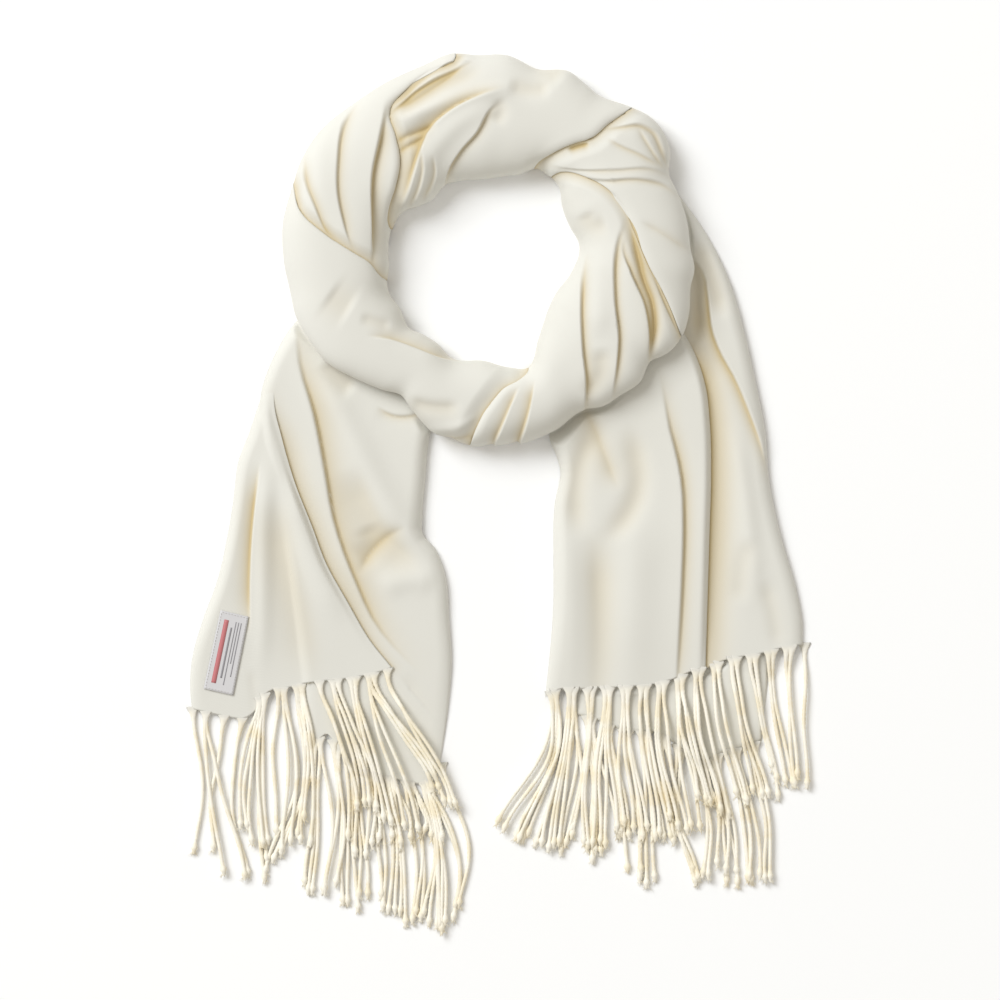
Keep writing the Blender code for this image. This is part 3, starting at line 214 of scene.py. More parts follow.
RIGHT_FOLDS = (
    pleat(((66, 184), (62, 162), (61, 138), (62, 112), (65, 80), (63, 54)), 3.1, 7, 8, 1.0, 0.7),
    pleat(((96, 210), (88, 189), (86, 147), (89, 117), (88, 100), (84, 66)), 3.2, 6, 7, 1.0, 0.7),
    pleat(((95, 196), (92, 186), (98, 166), (108, 143), (112, 120), (111, 92)), 2.7, 5, 7, 1.0, 0.7),
    crease(((96, 208), (102, 186), (108, 162), (115, 144), (117, 129), (113, 98)), 8.0, 2.6, 3.0),
    pleat(((107, 186), (117, 159), (124, 142), (138, 113)), 2.2, 4, 4, 0.5, 0.5),
    soft(((62, 212), (70, 201), (82, 203)), 1.8, 7, 7),
    soft(((75, 112), (76, 92), (64, 72)), 2.4, 7, 7),
    pleat(((-8, 30), (1, 48), (8, 65), (16, 84)), 2.6, 7, 7, 0.8, 0.7),
    pleat(((10, 30), (18, 46), (23, 64), (27, 88)), 2.9, 8, 8, 0.8, 0.7),
    soft(((76, 190), (74, 150), (76, 115)), -1.8, 9, 9),
)
WRAP_FOLDS = (
    pleat(((128, 240), (122, 260), (116, 272), (106, 277), (91, 276), (74, 274)), 2.1, 5, 4, 0.6, 0.5),
    pleat(((122, 246), (105, 255), (91, 261), (79, 268)), 1.6, 4, 4, 0.4, 0.4),
    pleat(((125, 243), (113, 261), (104, 276)), 1.6, 4, 3, 0.4, 0.4),
    pleat(((132, 238), (113, 244), (87, 243), (57, 243), (32, 247)), 1.2, 4, 4, 0.4, 0.4),
    pleat(((138, 221), (122, 233), (106, 236), (76, 235), (42, 240)), 1.7, 4, 4, 0.5, 0.4),
    crease(((104, 205), (123, 195), (145, 181)), 1.3, 2.4, 2.4),
    crease(((50, 257), (58, 260), (68, 263)), 6.5, 2.6, 2.6),
)

Stretch = namedtuple("Stretch", "start end folds following lies_on")
STRETCHES = {
    "ring_wrap": Stretch(OVER_RIGHT, OVER_WRAP, WRAP_FOLDS, "ring_top", "ring_right_cloth"),
    "ring_top": Stretch(OVER_WRAP, OVER_TOP, TOP_FOLDS, "ring_left", "ring_wrap_cloth"),
    "ring_left": Stretch(OVER_TOP, OVER_LEFT, LEFT_FOLDS, "ring_lower", "ring_top_cloth"),
    "ring_lower": Stretch(OVER_LEFT, OVER_LOWER, LOWER_FOLDS, "ring_right", "ring_left_cloth"),
    "ring_right": Stretch(OVER_LOWER, OVER_RIGHT, RIGHT_FOLDS, "ring_wrap", "ring_lower_cloth"),
}

# The two ends: four edges seen from above, the crest's height down the length, and the width over which
# the sides roll down
Panel = namedtuple("Panel", "top hem left right crest roll_left roll_right folds")
LEFT_BACK = Panel(
    top=((-143, 139), (-44, 66)),
    hem=((-144, -183), (-137, -183), (-129, -178), (-121, -189), (-110, -199), (-96, -207), (-83, -210),
         (-68, -214), (-58, -215), (-49, -210), (-44, -201)),
    left=((-143, 139), (-153, 130), (-166, 110), (-178, 78), (-178, 40), (-168, 0), (-156, -78), (-147, -146),
          (-144, -183)),
    right=((-44, 66), (-51, 47), (-55, 12), (-57, -14), (-57, -27), (-47, -40), (-40, -58), (-37, -92),
           (-35, -122), (-37, -152), (-44, -201)),
    crest=((140, 11), (100, 12), (50, 12), (0, 11), (-60, 10), (-100, 8), (-140, 5.5), (-180, 3.2),
           (-215, 2.4)),
    roll_left=9, roll_right=11,
    folds=(
        pleat(((-152, 140), (-149, 99), (-139, 64), (-130, 18), (-124, -16), (-116, -42), (-108, -62),
               (-92, -96), (-72, -120), (-50, -140)), 3.7, 17, 8, 1.0, 0.6),
        soft(((-178, 92), (-168, 62), (-158, 38), (-150, 10), (-136, -26), (-126, -50), (-108, -80),
              (-90, -112), (-70, -140)), 4.0, 10, 7),
        crease(((-68, -22), (-82, -29), (-94, -40), (-106, -60)), 3.0, 5.5, 4),
        soft(((-60, -64), (-72, -44), (-84, -33), (-94, -18), (-112, 24)), 3.6, 16, 7),
        soft(((-140, 112), (-127, 78), (-106, 36), (-87, 0), (-72, -22), (-48, -46)), -4.2, 12, 11),
        pleat(((-54, 66), (-66, 61), (-78, 61), (-92, 68)), 1.6, 6, 5, 0.4, 0.3),
        soft(((-128, 104), (-118, 88), (-106, 80)), 2.6, 9, 9),
        soft(((-92, -72), (-70, -62), (-44, -66)), -2.2, 9, 9),
        soft(((-76, -134), (-62, -158), (-52, -180)), 2.0, 9, 10),
        soft(((-100, -20), (-96, -34), (-106, -50)), 2.4, 9, 9),
    ),
)
LEFT_FRONT = Panel(
    top=((-169, 98), (-166, 98)),
    hem=((-230, -159), (-217, -162), (-203, -165), (-190, -166), (-183, -161), (-178, -151), (-170, -145),
         (-157, -143), (-146, -140), (-131, -138), (-106, -135), (-92, -132), (-80, -128)),
    left=((-169, 98), (-175, 82), (-181, 66), (-187, 48), (-195, 27), (-199, -3), (-204, -33), (-211, -63),
          (-222, -93), (-230, -123), (-231, -150), (-230, -159)),
    right=((-166, 98), (-168, 70), (-162, 43), (-153, 12), (-139, -24), (-130, -48), (-113, -79), (-96, -108),
           (-80, -128)),
    crest=((98, 6), (60, 10), (20, 12.5), (-40, 12.5), (-90, 10), (-130, 6), (-165, 3.0)),
    roll_left=9, roll_right=6,
    folds=(
        pleat(((-186, -108), (-186, -60), (-184, -24), (-181, 4), (-179, 20), (-178, 28)),
              3.7, 11, 9, 0.6, 0.6),
        soft(((-168, 6), (-160, -48), (-148, -92), (-138, -150)), 3.6, 9, 16),
        soft(((-172, 40), (-175, -20), (-176, -80), (-178, -150)), -2.4, 7, 6),
        soft(((-158, 20), (-150, -20), (-134, -60), (-112, -104)), -2.4, 7, 9),
        soft(((-186, -128), (-183, -148), (-182, -170)), 1.4, 4, 4),
    ),
)
RIGHT_SIDE = Panel(
    top=((118, 226), (133, 229)),
    hem=((150, -131), (157, -128), (168, -123), (181, -120), (194, -118), (209, -114), (228, -111)),
    left=((118, 226), (122, 190), (128, 150), (132, 116), (141, 80), (146, 40), (147, -20), (147, -80),
          (150, -131)),
    right=((133, 229), (154, 200), (173, 162), (185, 121), (193, 85), (200, 50), (203, 12), (212, -30),
           (223, -68), (228, -95), (228, -111)),
    crest=((230, 7), (190, 10), (150, 11), (100, 11), (40, 10.5), (-40, 10), (-90, 7.5), (-131, 5.2)),
    roll_left=0, roll_right=10,
    folds=(
        soft(((118, 186), (138, 142), (152, 98), (159, 65), (162, 35), (163, -18), (161, -78), (160, -150),
              (160, -210)), 5.4, 12, 32),
        soft(((140, 186), (146, 168), (149, 140), (152, 112)), 4.0, 5, 5),
        pleat(((204, 4), (198, 34), (188, 62), (176, 90), (166, 108), (160, 124), (157, 147), (153, 168),
               (141, 182)), 3.4, 8, 6, 1.1, 0.7),
        soft(((147, 196), (160, 160), (168, 130)), 3.0, 7, 7),
        soft(((172, 60), (182, 12), (188, -33), (192, -90)), -2.6, 8, 8),
        soft(((189, -28), (183, -52), (179, -84)), 1.6, 7, 7),
        soft(((198, -60), (205, -85), (210, -118)), 1.8, 6, 6),
    ),
)
RIGHT_FRONT = Panel(
    top=((46, 64), (128, 140)),
    hem=((35, -149), (46, -144), (59, -144), (83, -143), (100, -142), (113, -141), (126, -138), (135, -135),
         (144, -131), (155, -128)),
    left=((46, 64), (38, 45), (43, 31), (46, 20), (42, -5), (41, -51), (41, -79), (39, -110), (35, -149)),
    right=((128, 140), (139, 122), (149, 102), (155, 82), (158, 56), (159, 14), (158, -22), (157, -58),
           (156, -93), (155, -128)),
    crest=((140, 14.5), (80, 14.5), (30, 14), (-40, 13.5), (-90, 11), (-145, 5.4)),
    roll_left=10, roll_right=6,
    folds=(
        pleat(((118, 100), (124, 72), (128, 50), (133, 31), (137, 8), (138, -18), (137, -63), (135, -108),
               (133, -150), (132, -190)), 3.5, 10, 8, 0.8, 0.5),
        crease(((60, 74), (70, 54), (79, 32), (86, 14), (92, 2)), 2.6, 5, 7),
        soft(((94, 56), (102, 34), (105, 10), (99, -10), (86, -26), (72, -32)), 3.0, 8, 9),
        soft(((72, 60), (66, 40), (60, 18), (58, -8), (62, -34)), 2.8, 8, 8),
        soft(((72, -20), (75, -60), (76, -110), (72, -190)), 4.4, 11, 9),
        soft(((100, 0), (102, -60), (100, -120), (98, -200)), -2.8, 15, 13),
        soft(((50, -10), (54, -80), (50, -190)), -2.0, 8, 9),
    ),
)
LEFT_CORE_EDGES = (
    ((-128, 116), (-66, 70)), ((-128, -130), (-58, -130)),
    ((-128, 116), (-146, 60), (-146, 0), (-138, -70), (-128, -130)),
    ((-66, 70), (-70, 10), (-70, -30), (-56, -70), (-58, -130)),
)
RIGHT_BACK_EDGES = (
    ((70, 80), (160, 176)),
    ((57, -163), (74, -168), (100, -177), (113, -177), (128, -182), (142, -194), (151, -199), (160, -197),
     (168, -192), (178, -190), (197, -183)),
    ((70, 80), (66, 40), (60, 0), (58, -60), (58, -120), (57, -163)),
    ((160, 176), (176, 130), (186, 86), (190, 30), (196, -30), (202, -80), (202, -130), (197, -183)),
)
BACK_THICKNESS = 2.6  # height of the right end's back layers where they show
EMERGE = 42.0  # length over which the front panel comes out of the layer under it
BACK_ROLL = 8.0  # width over which hidden layers roll down at their sides
BESIDE = 3.0  # how far past its edges a panel still carries, or covers, another
NARROW = 18.0  # a panel narrower than this has narrower turned edges
OPEN = 50.0  # a height that stands for no cover
CORE_CLEARANCE = 2.7  # how far hidden layers stay below what covers them
RING_CLEARANCE = 1.0  # how far the ends stay below the ring's rim
RING_PRESS_REACH = 1.5  # how far past the rim they are pressed down, and how fast they rise past that
RING_PRESS_SLOPE = 0.9
PRESS_BLEND = 1.0
HIDDEN_START = 2.0  # where the back layer's folds fade under the front panel, and over which width
HIDDEN_WIDTH = 8.0
NEARBY = ((0, 0), (3, 0), (-3, 0), (0, 3), (0, -3))  # ways to the places that hidden layers stay below

# The fringe. Each bunch is a row of strands: its roots' places along X on the hem, its tips' two ends, and
# how far its strands bow to the side. A bunch of level 1 lies over one of level 0.
Bunch = namedtuple("Bunch", "count roots tips bow level")
Fringe = namedtuple("Fringe", "node hem bunches face ground seed")
STRAND = 1.55  # half the width of the two twisted plies
TWIST = 6.8  # length of yarn in which the plies turn once
PLY = 0.77  # a ply's radius as a share of the strand's half width
STRAND_RINGS = 98
STRAND_SIDES = 8
STRAND_AROUND = 8  # measure around a strand, for its weave
TIP_LOSS, TIP_SIZE = 0.4, 0.2  # how much a strand thins past its knot, and what is left at its very end
TIP_LOSS_START, TIP_LOSS_LENGTH = 1, 4
TIP_SCATTER = (2.5, 5.0)  # how far a tip strays from its row, across and along
BOW_SCATTER = 1.6
BOW_POWER = 1.5
SWING, SWING_SPEED = 0.55, 1.15  # share of a strand's way across that is a plain ramp, and its speed
SWING_LATE, SWING_START = 0.45, 0.3  # share of it that grows evenly, from this share of the length on
WAVE_SIZE, WAVE_TURNS, WAVE_START = (0.4, 1.1), (1.0, 1.8), 0.2
HEM_SAMPLES = 400
TOOTH = 13.6  # the hem's warp gathers into teeth this far apart, with two strands each
TOOTH_SPLIT = 1.8
TOOTH_HALF, TOOTH_TALL = 4.7, 0.28
ROOT = 3.4  # length over which a strand narrows from its tooth to a third of the way
ROOT_INSIDE = 1.6
ROOT_MARGIN = 0.5  # how much further inside the hem the cloth's height is taken
ROOT_FLUSH = 0.22  # how far below the cloth's face a root's middle lies, and how much more at its start
ROOT_LEVEL, ROOT_START = 0.4, 0.1
DROP = 22  # length over which a strand comes down from the hem to what it lies on
LEVEL = 1.8
LEVEL_START, LEVEL_RISE = 0.12, 0.25  # shares of a strand's length over which it rises to its level
LIE_CLEARANCE, LIE_SCATTER, LIE_BLUR = 0.1, 0.5, 3
GROUND_CLEARANCE, GROUND_START, GROUND_BLUR = 0.4, 5, 2
KNOT_END = 5.5  # from a knot's middle to the strand's end
KNOT_LENGTH = 2.6
KNOT_SWELL, KNOT_TURN = 0.75, 3.0
WISPS = 10  # loose fibres at each strand's end
WISP_RINGS, WISP_SIDES = 4, 3
WISP_FROM = 4  # how many rings before a strand's end they start
WISP_LENGTH, WISP_SHORTEST = 5.5, 0.5  # the second is a share of the first
WISP_SPREAD, WISP_LIFT = (-48, 48), (-12, 18)
WISP_CURL = (-1.4, 1.4)
WISP_WIDTH, WISP_TAPER = 0.5, 0.6
WISP_LOWEST = 0.8
HAIR_PITCH = 0.7  # fibres that fray from a hem
HAIR_RINGS, HAIR_SIDES = 4, 3
HAIR_LENGTH, HAIR_SHORTEST = 3.4, 0.35  # the second is a share of the first
HAIR_LEAN = (-55, 55)
HAIR_BEND = (0.3, 0.7)  # share of its lean that a fibre has at its root, and that it gains by its tip
HAIR_MARGIN, HAIR_ROOT, HAIR_DEPTH = 1.5, 0.8, 0.1  # where its root lies in the cloth
HAIR_DROOP = 0.25
HAIR_WIDTH, HAIR_TAPER = 0.14, 0.7
HAIR_LOWEST = 0.2
LOOSE_SEED = 100  # added to a fringe's seed for its loose fibres

LEFT_FRONT_BUNCHES = (
    Bunch(1, (-227, -227), ((-226, -266), (-226, -266)), 5, 0),
    Bunch(2, (-223, -221), ((-206, -281), (-190, -288)), -4, 1),
    Bunch(1, (-208, -208), ((-213, -266), (-213, -266)), -3, 0),
    Bunch(1, (-193, -193), ((-188, -287), (-188, -287)), -11, 0),
    Bunch(4, (-182, -172), ((-195, -248), (-178, -262)), -6, 1),
    Bunch(4, (-180, -166), ((-177, -286), (-168, -252)), -4, 0),
    Bunch(4, (-163, -150), ((-161, -272), (-147, -248)), 5, 1),
    Bunch(3, (-160, -146), ((-174, -287), (-163, -272)), 18, 0),
    Bunch(2, (-147, -144), ((-140, -266), (-150, -262)), 4, 1),
    Bunch(4, (-133, -118), ((-108, -232), (-92, -240)), 3, 2),
    Bunch(3, (-131, -114), ((-112, -262), (-99, -276)), 6, 1),
    Bunch(4, (-108, -96), ((-86, -247), (-60, -254)), -3, 2),
    Bunch(5, (-100, -82), ((-47, -222), (-32, -233)), -3, 3),
)
LEFT_BACK_BUNCHES = (
    Bunch(3, (-142, -136), ((-147, -296), (-137, -298)), 3, 0),
    Bunch(3, (-133, -124), ((-134, -300), (-124, -297)), 7, 1),
    Bunch(3, (-120, -112), ((-118, -303), (-108, -308)), 0, 0),
    Bunch(3, (-109, -96), ((-106, -306), (-86, -303)), 2, 0),
    Bunch(4, (-98, -84), ((-96, -262), (-72, -262)), 1, 1),
    Bunch(5, (-92, -76), ((-84, -316), (-70, -321)), 3, 0),
    Bunch(5, (-78, -58), ((-66, -256), (-44, -258)), 2, 1),
    Bunch(5, (-70, -56), ((-66, -318), (-52, -322)), 6, 0),
    Bunch(4, (-57, -48), ((-46, -330), (-38, -326)), 4, 1),
    Bunch(3, (-54, -46), ((-34, -320), (-28, -309)), 12, 0),
)
RIGHT_FRONT_BUNCHES = (
    Bunch(3, (36, 42), ((-2, -252), (12, -259)), 16, 1),
    Bunch(4, (42, 50), ((13, -256), (27, -261)), 12, 0),
    Bunch(4, (50, 60), ((34, -262), (45, -264)), 4, 1),
    Bunch(4, (60, 70), ((47, -266), (57, -259)), 6, 0),
    Bunch(5, (68, 82), ((63, -265), (80, -262)), -1, 1),
    Bunch(2, (80, 84), ((72, -272), (98, -282)), -3, 0),
    Bunch(4, (84, 98), ((88, -250), (108, -256)), -2, 1),
    Bunch(5, (100, 118), ((112, -256), (132, -262)), -4, 1),
    Bunch(5, (116, 134), ((128, -248), (152, -256)), -5, 2),
    Bunch(4, (134, 146), ((150, -224), (166, -242)), -5, 3),
    Bunch(3, (144, 154), ((160, -236), (176, -238)), -5, 1),
)
RIGHT_SIDE_BUNCHES = (
    Bunch(3, (158, 172), ((180, -226), (192, -228)), -4, 2),
    Bunch(2, (174, 182), ((197, -226), (202, -228)), -4, 1),
    Bunch(2, (184, 192), ((204, -208), (209, -232)), -3, 0),
    Bunch(3, (197, 208), ((210, -216), (221, -216)), -4, 0),
    Bunch(3, (214, 226), ((222, -217), (231, -216)), -2, 1),
)
RIGHT_BACK_BUNCHES = (
    Bunch(4, (58, 72), ((64, -266), (76, -272)), 2, 0),
    Bunch(4, (74, 88), ((88, -258), (96, -256)), 0, 0),
    Bunch(4, (92, 112), ((106, -286), (115, -292)), 0, 0),
    Bunch(4, (110, 126), ((122, -256), (138, -256)), 0, 0),
    Bunch(3, (126, 140), ((146, -288), (150, -290)), -10, 0),
    Bunch(4, (144, 160), ((154, -291), (168, -280)), 5, 1),
    Bunch(5, (158, 178), ((172, -288), (190, -292)), 2, 0),
    Bunch(4, (176, 192), ((188, -291), (206, -288)), 4, 1),
)


def smooth(at, knots, values):
    """A curve through rows of values, each at its knot.

    From one knot to the next it goes over by 3t^2 - 2t^3, and it is bent so that it keeps each knot's slope.
    """
    knots = np.asarray(knots, float)
    values = np.asarray(values, float)
    slope = np.gradient(values, knots, axis=0)
    low = np.clip(np.searchsorted(knots, at, side="right") - 1, 0, len(knots) - 2)
    width = knots[low + 1] - knots[low]
    t = np.clip((at - knots[low]) / width, 0, 1)
    if values.ndim > 1:
        t = t[..., None]
        width = width[..., None]
    ease = t * t * (3 - 2 * t)
    here = values[low] * (1 - ease) + values[low + 1] * ease
    return here + width * t * (1 - t) * ((1 - t) * slope[low] - t * slope[low + 1])


def distances(points):
    """The distance run along a row of points to each of them."""
    return np.r_[0, np.cumsum(np.linalg.norm(np.diff(points, axis=0), axis=1))]


def unit(vectors, least=0):
    """Vectors brought to length 1; a least length leaves those of no length at 0."""
    return vectors / (np.linalg.norm(vectors, axis=-1, keepdims=True) + least)


def pairs(first, second):
    """Pairs of the numbers of two arrays, spread over one grid."""
    return np.stack(np.broadcast_arrays(first, second), axis=-1)


def curve(path, count):
    """Points evenly spaced along a smooth curve through the points of a path."""
    path = np.asarray(path, float)
    run = distances(path)
    dense = smooth(np.linspace(0, run[-1], CURVE_FINENESS * count), run, path)
    length = distances(dense)
    even = np.linspace(0, length[-1], count)
    return np.stack([np.interp(even, length, dense[:, k]) for k in (0, 1)], axis=1)


def beside(x, y, path, count=EDGE_PARTS):
    """Distance from a path, above 0 to its left, the share of it at the nearest point, and its direction."""
    line = curve(path, count)
    start = line[:-1]
    step = line[1:] - start
    reach = (step**2).sum(axis=1)
    dx = x[..., None] - start[:, 0]
    dy = y[..., None] - start[:, 1]
    share = np.clip((dx * step[:, 0] + dy * step[:, 1]) / reach, 0, 1)
    away = np.hypot(dx - share * step[:, 0], dy - share * step[:, 1])
    near = away.argmin(axis=-1)[..., None]
    cross = np.take_along_axis(step[:, 0] * dy - step[:, 1] * dx, near, -1)[..., 0]
    distance = np.take_along_axis(away, near, -1)[..., 0]
    along = (near[..., 0] + np.take_along_axis(share, near, -1)[..., 0]) / (count - 1)
    heading = (step / np.sqrt(reach)[:, None])[near[..., 0]]
    return np.where(cross >= 0, distance, -distance), along, heading


def side_of(x, y, path, count=EDGE_PARTS):
    """Distance from a path alone."""
    return beside(x, y, path, count)[0]


def ramp(t):
    """0 below 0, 1 above 1, and a smooth slope between."""
    t = np.clip(t, 0, 1)
    return t * t * (3 - 2 * t)


def shoulder(t):
    """A quarter round: 0 at an edge, 1 from the end of the roll on."""
    return np.sqrt(np.clip(1 - (1 - np.clip(t, 0, 1)) ** 2, 0, 1))


def bell(t):
    """1 at 0, falling off to both sides by exp(-t^2)."""
    return np.exp(-(t**2))


def powered(value, power):
    """A power of a value's size, with the value's sign."""
    return np.sign(value) * np.abs(value) ** power


def blurred(values, reach):
    """Rows of values, each averaged over its neighbours within reach."""
    padded = np.pad(values, ((0, 0), (reach, reach)), mode="edge")
    return np.lib.stride_tricks.sliding_window_view(padded, 2 * reach + 1, axis=1).mean(axis=-1)


def higher(a, b):
    """The higher of two surfaces, rounded where they cross."""
    return (a + b + np.hypot(a - b, JOIN_BLEND)) / 2


def folded(x, y, folds):
    """Rise, sideways push and painted shade that folds give to points seen from above, as four arrays.

    With d the distance from the path, above 0 to its left, a trough is -depth exp(-(|d| / width)^power). A
    pleat is that trough on its left only, a lip of lip exp(-(|d| / width)^LIP_POWER) on its right, and a
    smooth step between them; its lip is pushed to the left by over exp(-(d / (OVER_REACH width))^2). The
    ends fade out.
    """
    total = np.zeros(x.shape + (4,))
    for fold in folds:
        path = np.array(fold.path, float)
        reach = FOLD_REACH * max(fold.left, fold.right)
        near = (x > path[:, 0].min() - reach) & (x < path[:, 0].max() + reach)
        near &= (y > path[:, 1].min() - reach) & (y < path[:, 1].max() + reach)
        if not near.any():
            continue
        distance, along, heading = beside(x[near], y[near], fold.path, FOLD_PARTS)
        ends = ramp(along / FADE) * ramp((1 - along) / FADE)
        left = np.exp(-((np.maximum(distance, 0) / fold.left) ** fold.power))
        if fold.lip:
            right = np.exp(-((np.maximum(-distance, 0) / fold.right) ** LIP_POWER))
            width = min(max(STEP * (fold.depth + fold.lip), STEP_LEAST), STEP_MOST)
            step = ramp(0.5 + distance / width)
            rise = fold.lip * right * (1 - step) - fold.depth * left * step
            push = fold.over * (1 - step) * bell(distance / fold.right / OVER_REACH)
            # painted shade: a dark line at the foot of the lip and a broad band across the valley
            painted_shade = LIP_TONE * np.exp(-np.maximum(distance - LIP_TONE_START, 0) / LIP_TONE_REACH)
            painted_shade = painted_shade + VALLEY_TONE * bell(distance / fold.left / VALLEY_TONE_REACH)
            painted_shade = painted_shade * step * min(fold.depth / PLEAT_FULL, PLEAT_MOST)
        else:
            right = np.exp(-((np.maximum(-distance, 0) / fold.right) ** fold.power))
            both = np.where(distance > 0, left, right)
            rise = -fold.depth * both
            push = np.zeros_like(rise)
            # painted shade in a trough, growing with its depth; none on a ridge
            full = CREASE_FULL if fold.power < SOFT_POWER else TROUGH_FULL
            painted_shade = np.maximum(fold.depth, 0) / full * both
        parts = [rise, -push * heading[:, 1], push * heading[:, 0], painted_shade]
        total[near] += np.stack(parts, axis=-1) * ends[:, None]
    return np.moveaxis(total, -1, 0)


# ---------------------------------------------------------------------------------- the ring


def around(table, angle):
    """A ring table's columns at any angle."""
    rows = np.array(table, float)
    turn = np.zeros(rows.shape[1])
    turn[0] = 360
    rows = np.concatenate([rows - turn, rows, rows + turn])
    return smooth(np.asarray(angle, float), rows[:, 0], rows[:, 1:])


def ring_place(angle, radius, height):
    """Points at angles and radii round the ring's centre."""
    turned = np.radians(angle)
    x = RING_CENTRE[0] + radius * np.cos(turned)
    y = RING_CENTRE[1] + radius * np.sin(turned)
    return np.stack([x, y, height], axis=-1)


def section(angle, share):
    """The ring's base surface: radius mid + half |cos|^PLAN_POWER, height crown |sin|^HEIGHT_POWER.

    The section turns from UNDERCUT degrees below its widest place outside to the same inside.
    """
    outer, lift = np.moveaxis(around(OUTER_RIM, angle), -1, 0)
    inner = around(INNER_RIM, angle)[..., 0]
    crown = around(CROWN, angle)[..., 0]
    turn = np.radians(-UNDERCUT + (180 + 2 * UNDERCUT) * share)
    side = powered(np.cos(turn), PLAN_POWER)
    up = np.sin(turn)
    radius = (outer + inner) / 2 + (outer - inner) / 2 * side
    above = BELLY + (crown - BELLY) * np.abs(up) ** HEIGHT_POWER
    below = BELLY * (1 + up / math.sin(math.radians(UNDERCUT)))
    height = np.where(up > 0, above, below)
    height = height + lift * (1 - height / crown) * ramp(0.5 + side)
    return ring_place(angle, radius, height)


def ring_point(angle, share, rise, push_x, push_y):
    """A point moved out of the base surface along its normal, and pushed along the surface."""
    d_angle = section(angle + NORMAL_ANGLE, share) - section(angle - NORMAL_ANGLE, share)
    low = np.clip(share - NORMAL_SHARE, 0, 1)
    high = np.clip(share + NORMAL_SHARE, 0, 1)
    normal = unit(np.cross(d_angle, section(angle, high) - section(angle, low)))
    push = np.stack([push_x, push_y, np.zeros_like(push_x)], axis=-1)
    push -= normal * (push * normal).sum(axis=-1, keepdims=True)
    return section(angle, share) + normal * rise[..., None] + push


def edge_angle(edge, share):
    """The angle at which a free edge crosses each share of the section."""
    line = curve(edge.path, HEM_PARTS) - RING_CENTRE
    angle = np.degrees(np.unwrap(np.arctan2(line[:, 1], line[:, 0])))
    radius = np.hypot(line[:, 0], line[:, 1])
    outer = around(OUTER_RIM, angle)[:, 0]
    inner = around(INNER_RIM, angle)[:, 0]
    side = np.clip((radius - (outer + inner) / 2) / ((outer - inner) / 2), -1, 1)
    turn = np.degrees(np.arccos(powered(side, 1 / PLAN_POWER)))
    at = (turn + UNDERCUT) / (180 + 2 * UNDERCUT)
    angle = angle + 360 * (angle[0] < 0)
    even = np.linspace(0, 1, EDGE_SAMPLES)
    angle = blurred(np.interp(even, np.maximum.accumulate(at), angle)[None], EDGE_BLUR)[0]
    return np.interp(share, even, angle)


def even_shares(stretch):
    """Shares of the section at even steps along a stretch's two edges."""
    share = np.linspace(0, 1, SHARE_SAMPLES)
    length = np.zeros(SHARE_SAMPLES)
    for edge in (stretch.start, stretch.end):
        length += distances(section(edge_angle(edge, share), share))
    return np.interp(np.linspace(0, length[-1], SECTION_POINTS), length, share)


def lie(name, x, y, share):
    """How far a stretch lies above the base surface, with the push of its folds and its painted shade."""
    stretch = STRETCHES[name]
    from_outer = ramp((share - OUTER_FROM) / (OUTER_TO - OUTER_FROM))
    from_inner = ramp((1 - share - INNER_FROM) / (INNER_TO - INNER_FROM))
    thick = RIM_EDGE + (1 - RIM_EDGE) * from_outer * from_inner
    past_start = -side_of(x, y, stretch.start.path)
    to_end = side_of(x, y, stretch.end.path)
    rolled = thick * stretch.start.roll * (1 - shoulder(past_start / stretch.start.roll_width))
    step = thick * stretch.end.roll + EDGE_STEP * (RIM_STEP + (1 - RIM_STEP) * thick)
    dipped = step * (1 - ramp(to_end / stretch.end.dip_width))
    rise, push_x, push_y, painted_shade = folded(x, y, stretch.folds)
    flattened = ramp(to_end / FOLD_HIDDEN), ramp((to_end + TROUGH_UNDER) / FOLD_HIDDEN)
    rise = rise * np.where(rise > 0, *flattened)
    rise = rise - rolled - dipped
    rise = np.where(rise > 0, rise, DEEPEST_FOLD * np.tanh(rise / DEEPEST_FOLD))
    shown = ramp(past_start / stretch.start.roll_width) * ramp(to_end / TONE_SHOWN)
    # painted shadow beside the next stretch's edge, and on under it
    tone = EDGE_TONE * np.exp(-np.maximum(to_end, 0) / RING_EDGE_REACH)
    tone = tone + RING_BROAD_SHADE * (1 - ramp(to_end / RING_BROAD_SHADE_REACH))
    painted_shade = painted_shade * shown + tone * (to_end > -EDGE_TONE_UNDER)
    return rise, push_x * shown, push_y * shown, painted_shade


